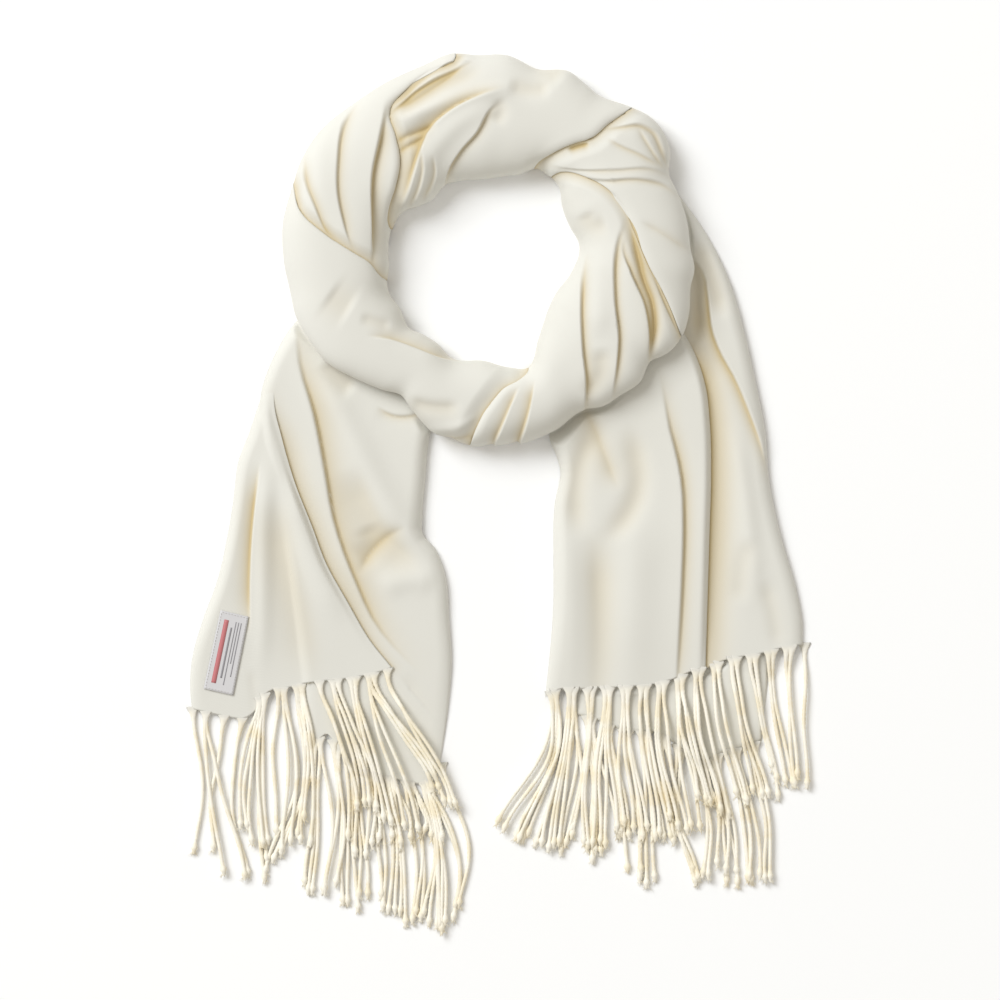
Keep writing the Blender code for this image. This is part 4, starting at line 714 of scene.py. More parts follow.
def stretch_points(name):
    """A stretch's outer face from its turned edge to the end of its tuck, and its painted shade."""
    stretch = STRETCHES[name]
    share = even_shares(stretch)
    start = edge_angle(stretch.start, share)
    end = edge_angle(stretch.end, share)
    start = start - 360 * (start.mean() > end.mean())
    radius = np.hypot(*(section(end, share)[:, :2] - RING_CENTRE).T)
    end = end + np.degrees(np.interp(radius, TUCK_RADII, (TUCK_INSIDE, TUCK)) / radius)
    count = int(np.radians(end - start).max() * radius.max() / RING_FINE)
    count += (count + len(TURN_UNDER)) % 2 == 0  # an odd number of lines in all
    angle = start + (end - start) * np.linspace(0, 1, count)[:, None]
    share = np.broadcast_to(share, angle.shape)
    x, y, _ = np.moveaxis(section(angle, share), -1, 0)
    hidden = -side_of(x, y, stretch.end.path)
    rise, push_x, push_y, painted_shade = lie(name, x, y, share)
    under = hidden > 0
    cover = lie(stretch.following, x[under], y[under], share[under])[0] - UNDER
    tucked = rise[under] + (TUCK_LEVEL - rise[under]) * ramp(hidden[under] / TUCK_INSIDE - 1)
    rise[under] = np.minimum(tucked, cover)
    rim = ramp(share / RIM_SHARE) * ramp((1 - share) / RIM_SHARE)
    rise = np.where(rise > 0, rise * rim, rise)
    turned = [(angle[:1] + np.degrees(back / radius), rise[:1] - down) for back, down in TURN_UNDER]
    angle = np.concatenate([a for a, _ in turned[::-1]] + [angle])
    rise = np.concatenate([r for _, r in turned[::-1]] + [rise])
    rows = ((len(turned), 0), (0, 0))
    push_x, push_y, painted_shade = (np.pad(part, rows) for part in (push_x, push_y, painted_shade))
    share = np.broadcast_to(share[0], angle.shape)
    faces = [ring_point(angle, share, rise - down, push_x * rim[0], push_y * rim[0]) for down in (0, CLOTH)]
    return *faces, painted_shade


def core_points():
    """The ring's hidden layers: one rounded section all the way round, closed along the floor."""
    angle = np.arange(0, 360, CORE_STEP)[:, None]
    turn = np.linspace(math.pi, 0, CORE_POINTS)
    nearby = np.linspace(-CORE_SWEEP, CORE_SWEEP, CORE_SWEEPS)[:, None, None]
    outer, lift = np.moveaxis(around(OUTER_RIM, angle + nearby), -1, 0)
    outer = outer - CORE_INSET - CORE_TAIL_INSET * np.clip(lift / CORE_TAIL_LIFT, 0, 1)
    outer = outer.min(axis=0)
    inner = around(INNER_RIM, angle + nearby)[..., 0].max(axis=0) + CORE_INSET
    outer = np.maximum(outer, inner + CORE_THINNEST)
    crown = around(CROWN, angle)[..., 0] - CORE_INSET
    side = powered(np.cos(turn), PLAN_POWER)
    layers = CORE_LAYER * np.sin(CORE_LAYERS * turn + np.radians(CORE_DRIFT * angle)) * np.sin(turn)
    radius = (outer + inner) / 2 + ((outer - inner) / 2 + layers) * side
    height = RIM + (crown - RIM + layers) * np.sin(turn) ** HEIGHT_POWER
    upper = ring_place(angle, radius, height)
    return np.concatenate([upper, upper[:, ::-CORE_FLOOR_EACH] * (1, 1, 0)], axis=1)


# ---------------------------------------------------------------------------------- the two ends


def odd(count):
    """The next odd whole number."""
    return int(count) | 1


def spread(top, hem, left, right, fine):
    """Plan points of a panel, from its left edge to its right and from its top to its hem."""
    length = max(np.ptp([p[1] for p in left]), np.ptp([p[1] for p in right]))
    width = max(np.ptp([p[0] for p in hem]), np.ptp([p[0] for p in top]))
    down = odd(length / fine + 2)
    along = np.linspace(0, 1, down)[None, :, None]
    across = np.linspace(0, 1, odd(width / fine + 2))
    left = curve(left, down)
    right = curve(right, down)
    plan = left + (right - left) * across[:, None, None]
    for path, weight in ((top, 1 - along), (hem, along)):
        line = curve(path, len(across))
        chord = line[0] + (line[-1] - line[0]) * across[:, None]
        plan = plan + (line - chord)[:, None] * weight**BEND_POWER
    return plan[..., 0], plan[..., 1]


def margins(panel, x, y):
    """How far inside its left edge, right edge and hem each point of a panel lies."""
    return side_of(x, y, panel.left), -side_of(x, y, panel.right), side_of(x, y, panel.hem, HEM_PARTS)


def between(x, y, left, right):
    """How far inside the nearer of a left and a right edge each point lies."""
    return np.minimum(side_of(x, y, left), -side_of(x, y, right))


def under_ring(x, y):
    """The height that the ring leaves free over each point: its rim's, and more beside it."""
    angle = np.degrees(np.arctan2(y - RING_CENTRE[1], x - RING_CENTRE[0])) % 360
    outer, lift = np.moveaxis(around(OUTER_RIM, angle), -1, 0)
    past = np.hypot(x - RING_CENTRE[0], y - RING_CENTRE[1]) - outer
    free = np.maximum(past - RING_PRESS_REACH, 0) * RING_PRESS_SLOPE
    return np.maximum(lift - RING_CLEARANCE, RIM) + free


def laid(panel, x, y):
    """A panel's own face: its crest, rolled down at its sides, with its folds, pressed under the ring."""
    left, right, _ = margins(panel, x, y)
    places = np.array(sorted(panel.crest), float)
    crest = smooth(y, places[:, 0], places[:, 1])
    rolled = np.ones_like(x)
    if panel.roll_left:
        rolled = rolled * shoulder(left / panel.roll_left)
    if panel.roll_right:
        rolled = rolled * shoulder(right / panel.roll_right)
    rise, push_x, push_y, painted_shade = folded(x, y, panel.folds)
    strength = crest / places[:, 1].max() * rolled
    height = RIM + (crest - RIM) * rolled + rise * strength
    free = under_ring(x, y)
    height = np.maximum((height + free - np.hypot(height - free, PRESS_BLEND)) / 2, RIM)
    return height, push_x * strength, push_y * strength, painted_shade * strength


def left_back_face(x, y):
    """The left end's back layer, smooth where the front panel hides it."""
    covered = -side_of(x, y, LEFT_FRONT.right)
    plain = laid(LEFT_BACK._replace(folds=()), x, y)[0]
    hidden = ramp((covered - HIDDEN_START) / HIDDEN_WIDTH) * (y < LEFT_FRONT.left[0][1] + HIDDEN_WIDTH)
    height, push_x, push_y, painted_shade = laid(LEFT_BACK, x, y)
    height = np.maximum(height * (1 - hidden) + plain * hidden, RIM)
    # painted shadow along the front panel's right edge, from a way down the end
    tone = EDGE_TONE * np.exp(-np.abs(covered) / LEFT_EDGE_REACH)
    tone = tone + LEFT_BROAD_SHADE * bell(covered / LEFT_BROAD_SHADE_REACH)
    painted_shade = painted_shade * (1 - hidden) + tone * ramp((LEFT_FRONT.top[0][1] - y) / EMERGE - LEFT_TONE_START)
    return height, push_x * (1 - hidden), push_y * (1 - hidden), painted_shade


def left_front_face(x, y):
    """The left end's front panel, which lies on the back layer."""
    left, right, hem = margins(LEFT_BACK, x, y)
    over = np.minimum(np.minimum(left, right), hem) > -BESIDE
    below = left_back_face(x, y)[0]
    height, *rest = laid(LEFT_FRONT, x, y)
    height = higher(height, np.where(over, below + LAYER, RIM))
    emerged = ramp((LEFT_FRONT.top[0][1] - y) / EMERGE)
    return height * emerged + np.maximum(below - LAYER, LOWEST) * (1 - emerged), *rest


def right_side_face(x, y):
    """The right end's side panel, which runs on under the front panel."""
    height, push_x, push_y, painted_shade = laid(RIGHT_SIDE, x, y)
    covered = side_of(x, y, RIGHT_FRONT.right)
    # painted shadow beside the front panel's right edge, fading out towards the ring
    tone = EDGE_TONE * np.exp(-np.maximum(covered, 0) / RIGHT_EDGE_REACH)
    tone = tone + RIGHT_BROAD_SHADE * bell(covered / RIGHT_BROAD_SHADE_REACH)
    painted_shade = painted_shade + tone * ramp((RIGHT_TONE_START - y) / RIGHT_TONE_FADE)
    return height, push_x, push_y, painted_shade


def right_front_face(x, y):
    """The right end's front panel, whose right edge lies on the side panel."""
    over = side_of(x, y, RIGHT_SIDE.left) > -BESIDE
    carried = np.where(over, right_side_face(x, y)[0] + LAYER, RIM)
    height, *rest = laid(RIGHT_FRONT, x, y)
    return higher(height, carried), *rest


def right_cover(x, y):
    """The lower of the two panels over the right end's back layers, and nothing past their hems."""
    front = np.minimum(*margins(RIGHT_FRONT, x, y)[1:]) > -BESIDE
    side_margins = margins(RIGHT_SIDE, x, y)
    side = np.minimum(side_margins[0], side_margins[2]) > -BESIDE
    front_height = np.where(front, right_front_face(x, y)[0], OPEN)
    return np.minimum(front_height, np.where(side, right_side_face(x, y)[0], OPEN))


def lowest_near(surface, x, y):
    """The lowest that a surface gets within a short way of each point."""
    return np.min([surface(x + i, y + j) for i, j in NEARBY], axis=0)


def right_back_height(x, y):
    """The right end's back layers: low where they show, and close under what covers them."""
    cover = lowest_near(right_cover, x, y)
    filled = np.where(cover < OPEN, cover - CORE_CLEARANCE, BACK_THICKNESS)
    _, hem, left, right = RIGHT_BACK_EDGES
    edge = between(x, y, left, right) / BACK_ROLL
    rolled = shoulder(np.minimum(edge, side_of(x, y, hem, HEM_PARTS) / BACK_THICKNESS))
    return np.maximum(filled * rolled, RIM)


def left_core_height(x, y):
    """The layers hidden in the left end."""
    _, _, left, right = LEFT_CORE_EDGES
    filled = lowest_near(lambda u, v: left_back_face(u, v)[0], x, y) - CORE_CLEARANCE
    return np.maximum(filled * shoulder(between(x, y, left, right) / BACK_ROLL), RIM)


def panel_points(panel, face):
    """A panel's outer face with its right and left edges turned under, its inner face, and its painted shade.
    """
    x, y = spread(panel.top, panel.hem, panel.left, panel.right, FINE)
    height, push_x, push_y, painted_shade = face(x, y)
    points = np.stack([x + push_x, y + push_y, height], axis=-1)
    width = np.linalg.norm(points[-1] - points[0], axis=-1)[:, None]
    narrow = np.clip(width / NARROW, NARROWEST, 1)
    for end, inside in ((0, TURN_FROM), (-1, -1 - TURN_FROM)):
        edge = points[end]
        inwards = unit((points[inside] - edge) * (1, 1, 0), LEAST_WAY)
        turned = []
        for back, down in TURN_UNDER:
            line = edge + inwards * back * narrow
            line[:, 2] = np.maximum(edge[:, 2] - down, LOWEST)
            turned.append(line)
        turned = np.array(turned)
        points = np.concatenate([turned[::-1], points] if end == 0 else [points, turned])
        extra = (len(turned), 0) if end == 0 else (0, len(turned))
        painted_shade = np.pad(painted_shade, (extra, (0, 0)))
    return points, points - grid_normals(points)[0] * CLOTH, painted_shade


# ---------------------------------------------------------------------------------- meshes


def new_object(name, data):
    """An object at the origin, in the scene."""
    made = bpy.data.objects.new(name, data)
    bpy.context.scene.collection.objects.link(made)
    return made


def new_piece(name, points, faces, material, nodes):
    """A piece with smooth faces and its own finish, which stands for its nodes."""
    mesh = bpy.data.meshes.new(name)
    mesh.from_pydata((np.asarray(points) + SHIFT) * MM, [], faces)
    mesh.shade_smooth()
    mesh.materials.append(material)
    piece = new_object(name, mesh)
    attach(piece, "root")
    if nodes:
        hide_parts(*nodes)
    return piece


def set_weave(piece, weave):
    """Gives a piece its UV map, in metres along and across the weave."""
    mesh = piece.data
    corners = np.empty(len(mesh.loops), np.int32)
    mesh.loops.foreach_get("vertex_index", corners)
    layer = mesh.uv_layers.new(name="weave")
    layer.data.foreach_set("uv", (np.asarray(weave)[corners] * MM).astype(np.float32).ravel())


def set_attribute(piece, name, values):
    """Gives each point of a piece a number from 0 to 1, such as the cloth's painted shade there."""
    layer = piece.data.attributes.new(name, "FLOAT", "POINT")
    layer.data.foreach_set("value", np.clip(values, 0, 1).astype(np.float32).ravel())


def way(points, axis):
    """Distance run along one way of a grid, taken down its middle line."""
    return distances(np.take(points, points.shape[1 - axis] // 2, axis=1 - axis))


def grid_normals(points):
    """Unit normals of a grid, turned upwards, and whether they had to be turned over."""
    normal = unit(np.cross(np.gradient(points, axis=0), np.gradient(points, axis=1)), LEAST_NORMAL)
    over = normal[..., 2].mean() < 0
    return (-normal if over else normal), over


def shell_faces(columns, rows, over):
    """Faces of a closed shell: a grid, a grid of half its lines below, and a rim of triangles."""
    upper = np.arange(columns * rows).reshape(columns, rows)
    lower = upper.size + np.arange((columns // 2 + 1) * (rows // 2 + 1)).reshape(columns // 2 + 1, -1)
    faces = []
    for index, back in ((upper, over), (lower, not over)):
        quads = np.stack([index[:-1, :-1], index[1:, :-1], index[1:, 1:], index[:-1, 1:]], axis=-1)
        quads = quads.reshape(-1, 4)
        faces += (quads[:, ::-1] if back else quads).tolist()
    borders = (
        (upper[::-1, 0], lower[::-1, 0]), (upper[:, -1], lower[:, -1]),
        (upper[0], lower[0]), (upper[-1, ::-1], lower[-1, ::-1]),
    )
    for line, inner in borders:
        if over:
            line, inner = line[::-1], inner[::-1]
        first, middle, last = line[:-1:2], line[1::2], line[2::2]
        for corners in (
            (first, middle, inner[:-1]), (middle, inner[1:], inner[:-1]), (middle, last, inner[1:]),
        ):
            faces += np.stack(corners, axis=-1).tolist()
    return faces


def both_grids(upper, lower):
    """A shell's values in one list: all of its upper grid, then each second line of its lower one."""
    return np.concatenate([grid.reshape(-1, *grid.shape[2:]) for grid in (upper, lower[::2, ::2])])


def new_shell(name, upper, lower, weave, material, nodes):
    """A closed shell between two grids of points, with its UV map."""
    _, over = grid_normals(upper)
    points = both_grids(upper, lower)
    points[:, 2] = np.maximum(points[:, 2], 0)
    piece = new_piece(name, points, shell_faces(*upper.shape[:2], over), material, nodes)
    set_weave(piece, both_grids(weave, weave))
    return piece


def cloth_shell(name, outer, inner, painted_shade, material, nodes, lies_on, held="folded"):
    """A stretch of cloth as a closed thin shell, returned with its flat size, what it lies on and how it
    lies.

    Its length is the outer face's area divided by its width.
    """
    across = way(outer, 0)
    weave = pairs(across[:, None], way(outer, 1))
    piece = new_shell(name, outer, inner, weave, material, nodes)
    set_attribute(piece, "painted_shade", both_grids(painted_shade, painted_shade))
    corners = np.stack([outer[:-1, :-1], outer[1:, :-1], outer[:-1, 1:]])
    area = np.linalg.norm(np.cross(corners[1] - corners[0], corners[2] - corners[0]), axis=-1).sum()
    return piece, (across[-1] * MM, area / across[-1] * MM), lies_on, held


def hidden_shell(name, edges, height, material, nodes):
    """Hidden layers as one closed form, flat on the floor."""
    x, y = spread(*edges, COARSE)
    upper = np.stack([x, y, height(x, y)], axis=-1)
    piece = new_shell(name, upper, upper * (1, 1, 0), upper[..., :2], material, nodes)
    set_attribute(piece, "painted_shade", np.zeros(len(piece.data.vertices)))


def ring_layers(name, material, nodes):
    """The ring's hidden layers, a ring closed both ways."""
    grid = core_points()
    index = np.arange(grid.shape[0] * grid.shape[1]).reshape(grid.shape[:2])
    there = np.roll(index, -1, axis=0)
    quads = [index, np.roll(index, -1, axis=1), np.roll(there, -1, axis=1), there]
    faces = np.stack(quads, axis=-1).reshape(-1, 4)
    points = grid.reshape(-1, 3)
    piece = new_piece(name, points, faces.tolist(), material, nodes)
    set_weave(piece, points[:, :2])
    # painted shade all over the ring's hidden layers
    set_attribute(piece, "painted_shade", np.full(len(points), CORE_TONE))


# ---------------------------------------------------------------------------------- fringe


def no_cloth(x, y):
    """The bare floor under a stretch of fringe."""
    return np.zeros_like(x)


def left_ground(x, y):
    """The back layer under the left end's front fringe, and the floor past it."""
    inside = np.minimum.reduce(margins(LEFT_BACK, x, y)) > -STRAND
    return np.where(inside, left_back_face(x, y)[0], 0)


def right_ground(x, y):
    """The back layers under the right end's fringe, and the floor past them."""
    _, hem, left, right = RIGHT_BACK_EDGES
    inside = np.minimum(between(x, y, left, right), side_of(x, y, hem, HEM_PARTS)) > -STRAND
    return np.where(inside, right_back_height(x, y), 0)


def right_back_face(x, y):
    """The right end's back layers as a face for their fringe."""
    return (right_back_height(x, y),)


FRINGES = (
    Fringe("left_fringe_front", LEFT_FRONT.hem, LEFT_FRONT_BUNCHES, left_front_face, left_ground, 3),
    Fringe("left_fringe_back", LEFT_BACK.hem, LEFT_BACK_BUNCHES, left_back_face, no_cloth, 5),
    Fringe("right_fringe_front", RIGHT_FRONT.hem, RIGHT_FRONT_BUNCHES, right_front_face, right_ground, 8),
    Fringe("right_fringe_side", RIGHT_SIDE.hem, RIGHT_SIDE_BUNCHES, right_side_face, right_ground, 11),
    Fringe("right_fringe_back", RIGHT_BACK_EDGES[1], RIGHT_BACK_BUNCHES, right_back_face, no_cloth, 14),
)


def strand_lines(fringe):
    """Centre lines of a fringe's strands, (strand, ring, 3), and the way down each.

    A strand leaves its tooth straight down, swings over to its tip by a smooth ramp, bows by
    bow sin(pi t)^BOW_POWER and waves a little. It lies on what is under it, with a blur along its length,
    one level over another.
    """
    random = np.random.default_rng(fringe.seed)
    rows = []
    for bunch in fringe.bunches:
        share = np.linspace(0, 1, bunch.count) if bunch.count > 1 else np.array([0.5])
        root = bunch.roots[0] + (bunch.roots[1] - bunch.roots[0]) * share
        tip = np.array(bunch.tips[0]) + np.subtract(bunch.tips[1], bunch.tips[0]) * share[:, None]
        tip = tip + random.uniform(-1, 1, tip.shape) * TIP_SCATTER
        bow = bunch.bow + random.uniform(-BOW_SCATTER, BOW_SCATTER, bunch.count)
        rows.append(np.stack([root, tip[:, 0], tip[:, 1], bow, np.full(bunch.count, bunch.level)], axis=1))
    root, tip_x, tip_y, bow, level = np.concatenate(rows).T[..., None]
    count = len(root)
    tooth = TOOTH * np.round(root / TOOTH)
    root = tooth + TOOTH_SPLIT * np.where(root < tooth, -1, 1)
    hem = curve(fringe.hem, HEM_SAMPLES)
    first = np.interp(root, hem[:, 0], hem[:, 1])
    run = np.linspace(0, 1, STRAND_RINGS)
    swing = SWING * ramp(run * SWING_SPEED) + SWING_LATE * run * ramp(run / SWING_START)
    wave = random.uniform(*WAVE_SIZE, (count, 1)) * np.sin(
        2 * np.pi * (random.uniform(*WAVE_TURNS, (count, 1)) * run + random.uniform(0, 1, (count, 1)))
    )
    x = root + (tip_x - root) * swing + bow * np.sin(np.pi * run) ** BOW_POWER + wave * ramp(run / WAVE_START)
    y = first + ROOT_INSIDE + (tip_y - first - ROOT_INSIDE) * run
    line = np.stack([x, y], axis=-1)
    way_down = np.cumsum(np.linalg.norm(np.diff(line, axis=1, prepend=line[:, :1]), axis=-1), axis=1)
    top = fringe.face(root, first + ROOT_INSIDE + ROOT_MARGIN)[0]
    top = top - ROOT_LEVEL * (way_down < ROOT_START) - ROOT_FLUSH
    ground = fringe.ground(x, y)
    rest = ground + STRAND + LIE_CLEARANCE + LEVEL * level * ramp((run - LEVEL_START) / LEVEL_RISE)
    rest = blurred(rest + random.uniform(0, LIE_SCATTER, (count, 1)), LIE_BLUR)
    down = ramp((way_down - ROOT_INSIDE) / DROP)
    floor = blurred(ground, GROUND_BLUR) * ramp(way_down / GROUND_START) + GROUND_CLEARANCE
    z = np.maximum(top * (1 - down) + rest * down, floor)
    return np.stack([x, y, z], axis=-1), way_down


def tubes(rings, first=0):
    """Points and faces of closed tubes from an array (tube, ring, side, 3) of their sections.

    The faces number the points from the first number on.
    """
    tube, ring, side = rings.shape[:3]
    index = first + np.arange(tube * ring * side).reshape(tube, ring, side)
    here, there = index[:, :-1], index[:, 1:]
    quads = np.stack([here, there, np.roll(there, -1, axis=2), np.roll(here, -1, axis=2)], axis=-1)
    faces = quads.reshape(-1, 4).tolist() + index[:, 0].tolist() + index[:, -1, ::-1].tolist()
    return rings.reshape(-1, 3), faces


def frames(lines):
    """Directions along a set of lines, level across them, and up."""
    ahead = unit(np.gradient(lines, axis=1))
    across = unit(np.stack([-ahead[..., 1], ahead[..., 0], np.zeros_like(ahead[..., 0])], axis=-1))
    return ahead, across, np.cross(ahead, across)


def even_turns(sides):
    """Angles at even steps once round."""
    return np.linspace(0, 2 * np.pi, sides, endpoint=False)


def round_section(across, up, sides, width):
    """Points around a line's middle: width (across cos + up sin) at even angles."""
    side = even_turns(sides)[:, None]
    return (across[..., None, :] * np.cos(side) + up[..., None, :] * np.sin(side)) * width


def gathered(way_down):
    """How far a strand is still the cloth's flat warp: 1 at the hem, then falling off by exp(-s / ROOT)."""
    return np.exp(-np.maximum(way_down - ROOT_INSIDE, 0) / ROOT)


def strand_rings(lines, way_down):
    """Sections of two twisted plies along each line, (strand, ring, side, 3).

    A section reaches c |cos| + sqrt(r^2 - c^2 sin^2) from its middle, which is the outline of two round
    plies, and it turns once in TWIST. At the hem it is a flat oval as wide as the warp that it gathers,
    and at its knot it swells and turns faster.
    """
    _, across, up = frames(lines)
    side = even_turns(STRAND_SIDES)
    to_knot = way_down - way_down[:, -1:] + KNOT_END
    knot = bell(to_knot / KNOT_LENGTH)
    turn = 2 * np.pi * way_down / TWIST + KNOT_TURN * np.tanh(to_knot / KNOT_LENGTH)
    angle = side - turn[..., None]
    offset = 1 - PLY
    lobes = offset * np.abs(np.cos(angle)) + np.sqrt(PLY**2 - (offset * np.sin(angle)) ** 2)
    thinned = 1 - TIP_LOSS * ramp((to_knot - TIP_LOSS_START) / TIP_LOSS_LENGTH)
    size = (STRAND * (1 + KNOT_SWELL * knot) * thinned)[..., None]
    gather = gathered(way_down)[..., None]
    wide = size * lobes * np.cos(side) * (1 - gather) + TOOTH_HALF * np.cos(side) * gather
    tall = size * lobes * np.sin(side) * (1 - gather) + TOOTH_TALL * np.sin(side) * gather
    rings = across[:, :, None] * wide[..., None] + up[:, :, None] * tall[..., None]
    rings[:, -1] *= TIP_SIZE
    return lines[:, :, None] + rings


def wisp_rings(lines, random):
    """Sections of the loose fibres that spread from each strand's end, three-sided and tapered."""
    count = len(lines)
    ahead, across, up = (direction[:, -1:] for direction in frames(lines))
    base = lines[:, -WISP_FROM][:, None]
    spread_by = np.radians(random.uniform(*WISP_SPREAD, (count, WISPS, 1)))
    lift_by = np.radians(random.uniform(*WISP_LIFT, (count, WISPS, 1)))
    heading = ahead * np.cos(spread_by) + across * np.sin(spread_by) + up * np.sin(lift_by)
    length = WISP_LENGTH * random.uniform(WISP_SHORTEST, 1.0, (count, WISPS, 1, 1))
    run = np.linspace(0, 1, WISP_RINGS)[:, None]
    curl = across[:, :, None] * random.uniform(*WISP_CURL, (count, WISPS, 1, 1)) * run**2
    middle = base[:, :, None] + heading[:, :, None] * length * run + curl
    middle[..., 2] = np.maximum(middle[..., 2], WISP_LOWEST)
    width = WISP_WIDTH * (1 - WISP_TAPER * run)[..., None]
    ring = round_section(across[:, :, None], up[:, :, None], WISP_SIDES, width)
    return (middle[..., None, :] + ring).reshape(count * WISPS, WISP_RINGS, WISP_SIDES, 3)


def hair_rings(fringe, random):
    """Sections of the fine fibres that fray from the hem, as curved three-sided slivers."""
    hem = curve(fringe.hem, HEM_SAMPLES)
    length = np.linalg.norm(np.diff(hem, axis=0), axis=1).sum()
    count = int(length / HAIR_PITCH)
    at = np.sort(random.uniform(0, HEM_SAMPLES - 1, count))
    root = np.stack([np.interp(at, np.arange(HEM_SAMPLES), hem[:, k]) for k in (0, 1)], axis=1)
    height = fringe.face(root[:, 0], root[:, 1] + HAIR_MARGIN)[0] - random.uniform(HAIR_DEPTH, CLOTH, count)
    lean = np.radians(random.uniform(*HAIR_LEAN, (count, 1)))
    run = np.linspace(0, 1, HAIR_RINGS)
    reach = HAIR_LENGTH * random.uniform(HAIR_SHORTEST, 1.0, (count, 1)) * run
    x = root[:, :1] + reach * np.sin(lean * (HAIR_BEND[0] + HAIR_BEND[1] * run))
    y = root[:, 1:] + HAIR_ROOT - reach * np.cos(lean)
    z = np.maximum(height[:, None] - HAIR_DROOP * reach, HAIR_LOWEST)
    line = np.stack([x, y, z], axis=-1)
    side = even_turns(HAIR_SIDES)
    width = HAIR_WIDTH * (1 - HAIR_TAPER * run)[:, None]
    ring = np.stack([width * np.cos(side), np.zeros((HAIR_RINGS, HAIR_SIDES)), width * np.sin(side)], axis=-1)
    return line[:, :, None] + ring


def add_fringe(fringe, material):
    """One stretch of fringe: its twisted strands, their knots and loose ends, and the frayed hem."""
    random = np.random.default_rng(fringe.seed + LOOSE_SEED)
    lines, way_down = strand_lines(fringe)
    sections = strand_rings(lines, way_down), wisp_rings(lines, random), hair_rings(fringe, random)
    points = np.empty((0, 3))
    faces = []
    for rings in sections:
        rings[..., 2] = np.maximum(rings[..., 2], LOWEST)
        more, more_faces = tubes(rings, len(points))
        faces += more_faces
        points = np.concatenate([points, more])
    name = fringe.node.replace("fringe_", "") + "_fringe"
    piece = new_piece(name, points, faces, material, [fringe.node])
    around_it = np.linspace(0, STRAND_AROUND, STRAND_SIDES)
    weave = pairs(around_it, way_down[..., None]).reshape(-1, 2)
    set_weave(piece, np.concatenate([weave, points[len(weave):, :2]]))
    root = np.broadcast_to(gathered(way_down)[..., None], sections[0].shape[:3]).ravel()
    set_attribute(piece, "gathered", np.pad(root, (0, len(points) - len(root))))


# ---------------------------------------------------------------------------------- label


LABEL_CORNERS = ((-208, -85), (-187, -90), (-199, -149), (-221, -144))
LABEL_SIZE = (22.0, 61.0)
LABEL_LIFT = 0.7
LABEL_THICKNESS = 0.5
LABEL_GRID, BAR_GRID = (15, 41), (3, 31)
BAR_LIFT, BAR_THICKNESS = 0.02, 0.12
LABEL_BARS = (
    # across from, across to, along from, along to, as shares of the label, and the yarn's colour
    (0.20, 0.36, 0.10, 0.90, "red"), (0.46, 0.52, 0.18, 0.82, "grey"),
    (0.60, 0.63, 0.10, 0.90, "grey"), (0.69, 0.72, 0.10, 0.62, "grey"), (0.78, 0.81, 0.10, 0.78, "grey"),
)
LABEL_COLOURS = {
    "satin": (0.69, 0.68, 0.69), "red": (0.58, 0.19, 0.20), "grey": (0.30, 0.29, 0.31),
    "thread": (0.62, 0.60, 0.58),
}
SEAM = ((0.05, 0.02), (0.95, 0.02), (0.95, 0.98), (0.05, 0.98), (0.05, 0.02))  # as shares of the label
STITCH_START, STITCH_END, STITCH_PITCH, STITCH_LENGTH = 0.4, 1.6, 2.3, 1.4
STITCH_HEIGHTS = (0.0, 0.22, 0.28, 0.22, 0.0)
STITCH_WIDTHS = (0.08, 0.2, 0.22, 0.2, 0.08)
STITCH_SIDES = 6


def label_points(across, along):
    """Points over the label, by their shares of its width and length, on the panel under it."""
    near_left, near_right, far_right, far_left = np.array(LABEL_CORNERS, float)
    across, along = np.broadcast_arrays(across, along)
    near = near_left + (near_right - near_left) * across[..., None]
    far = far_left + (far_right - far_left) * across[..., None]
    plan = near + (far - near) * along[..., None]
    height = left_front_face(plan[..., 0], plan[..., 1])[0]
    return np.concatenate([plan, height[..., None] + LABEL_LIFT], axis=-1)


def add_patch(name, sides, grid, lift, thickness, material, nodes=()):
    """A thin closed patch over part of the label, between the shares of it that its four sides lie at."""
    left, right, top, bottom = sides
    across = np.linspace(left, right, grid[0])[:, None]
    along = np.linspace(top, bottom, grid[1])
    upper = label_points(across, along) + (0, 0, lift + thickness)
    weave = pairs(across * LABEL_SIZE[0], along * LABEL_SIZE[1])
    new_shell(name, upper, upper - (0, 0, thickness), weave, material, nodes)


def add_stitches(material):
    """The running stitch round the label: short round bars."""
    corners = np.array(SEAM)
    run = distances(corners * LABEL_SIZE)
    starts = np.arange(STITCH_START, run[-1] - STITCH_END, STITCH_PITCH)[:, None]
    along = starts + np.linspace(0, STITCH_LENGTH, len(STITCH_WIDTHS))
    lines = label_points(*(np.interp(along, run, corners[:, k]) for k in (0, 1)))
    lines[..., 2] += LABEL_THICKNESS + np.array(STITCH_HEIGHTS)
    _, across, up = frames(lines)
    rings = round_section(across, up, STITCH_SIDES, np.array(STITCH_WIDTHS)[:, None, None])
    points, faces = tubes(lines[:, :, None] + rings)
    piece = new_piece("label_stitches", points, faces, material, ())
    set_weave(piece, points[:, :2])


def add_label():
    """The label, its woven bars and its stitches."""
    yarns = {name: satin_finish("label_" + name, colour) for name, colour in LABEL_COLOURS.items()}
    add_patch("woven_label", (0, 1, 0, 1), LABEL_GRID, 0, LABEL_THICKNESS, yarns["satin"], ["label"])
    for number, (*sides, colour) in enumerate(LABEL_BARS, 1):
        add_patch(f"label_bar_{number}", sides, BAR_GRID, LABEL_THICKNESS + BAR_LIFT, BAR_THICKNESS,
                  yarns[colour])
    add_stitches(yarns["thread"])


# ---------------------------------------------------------------------------------- finishes


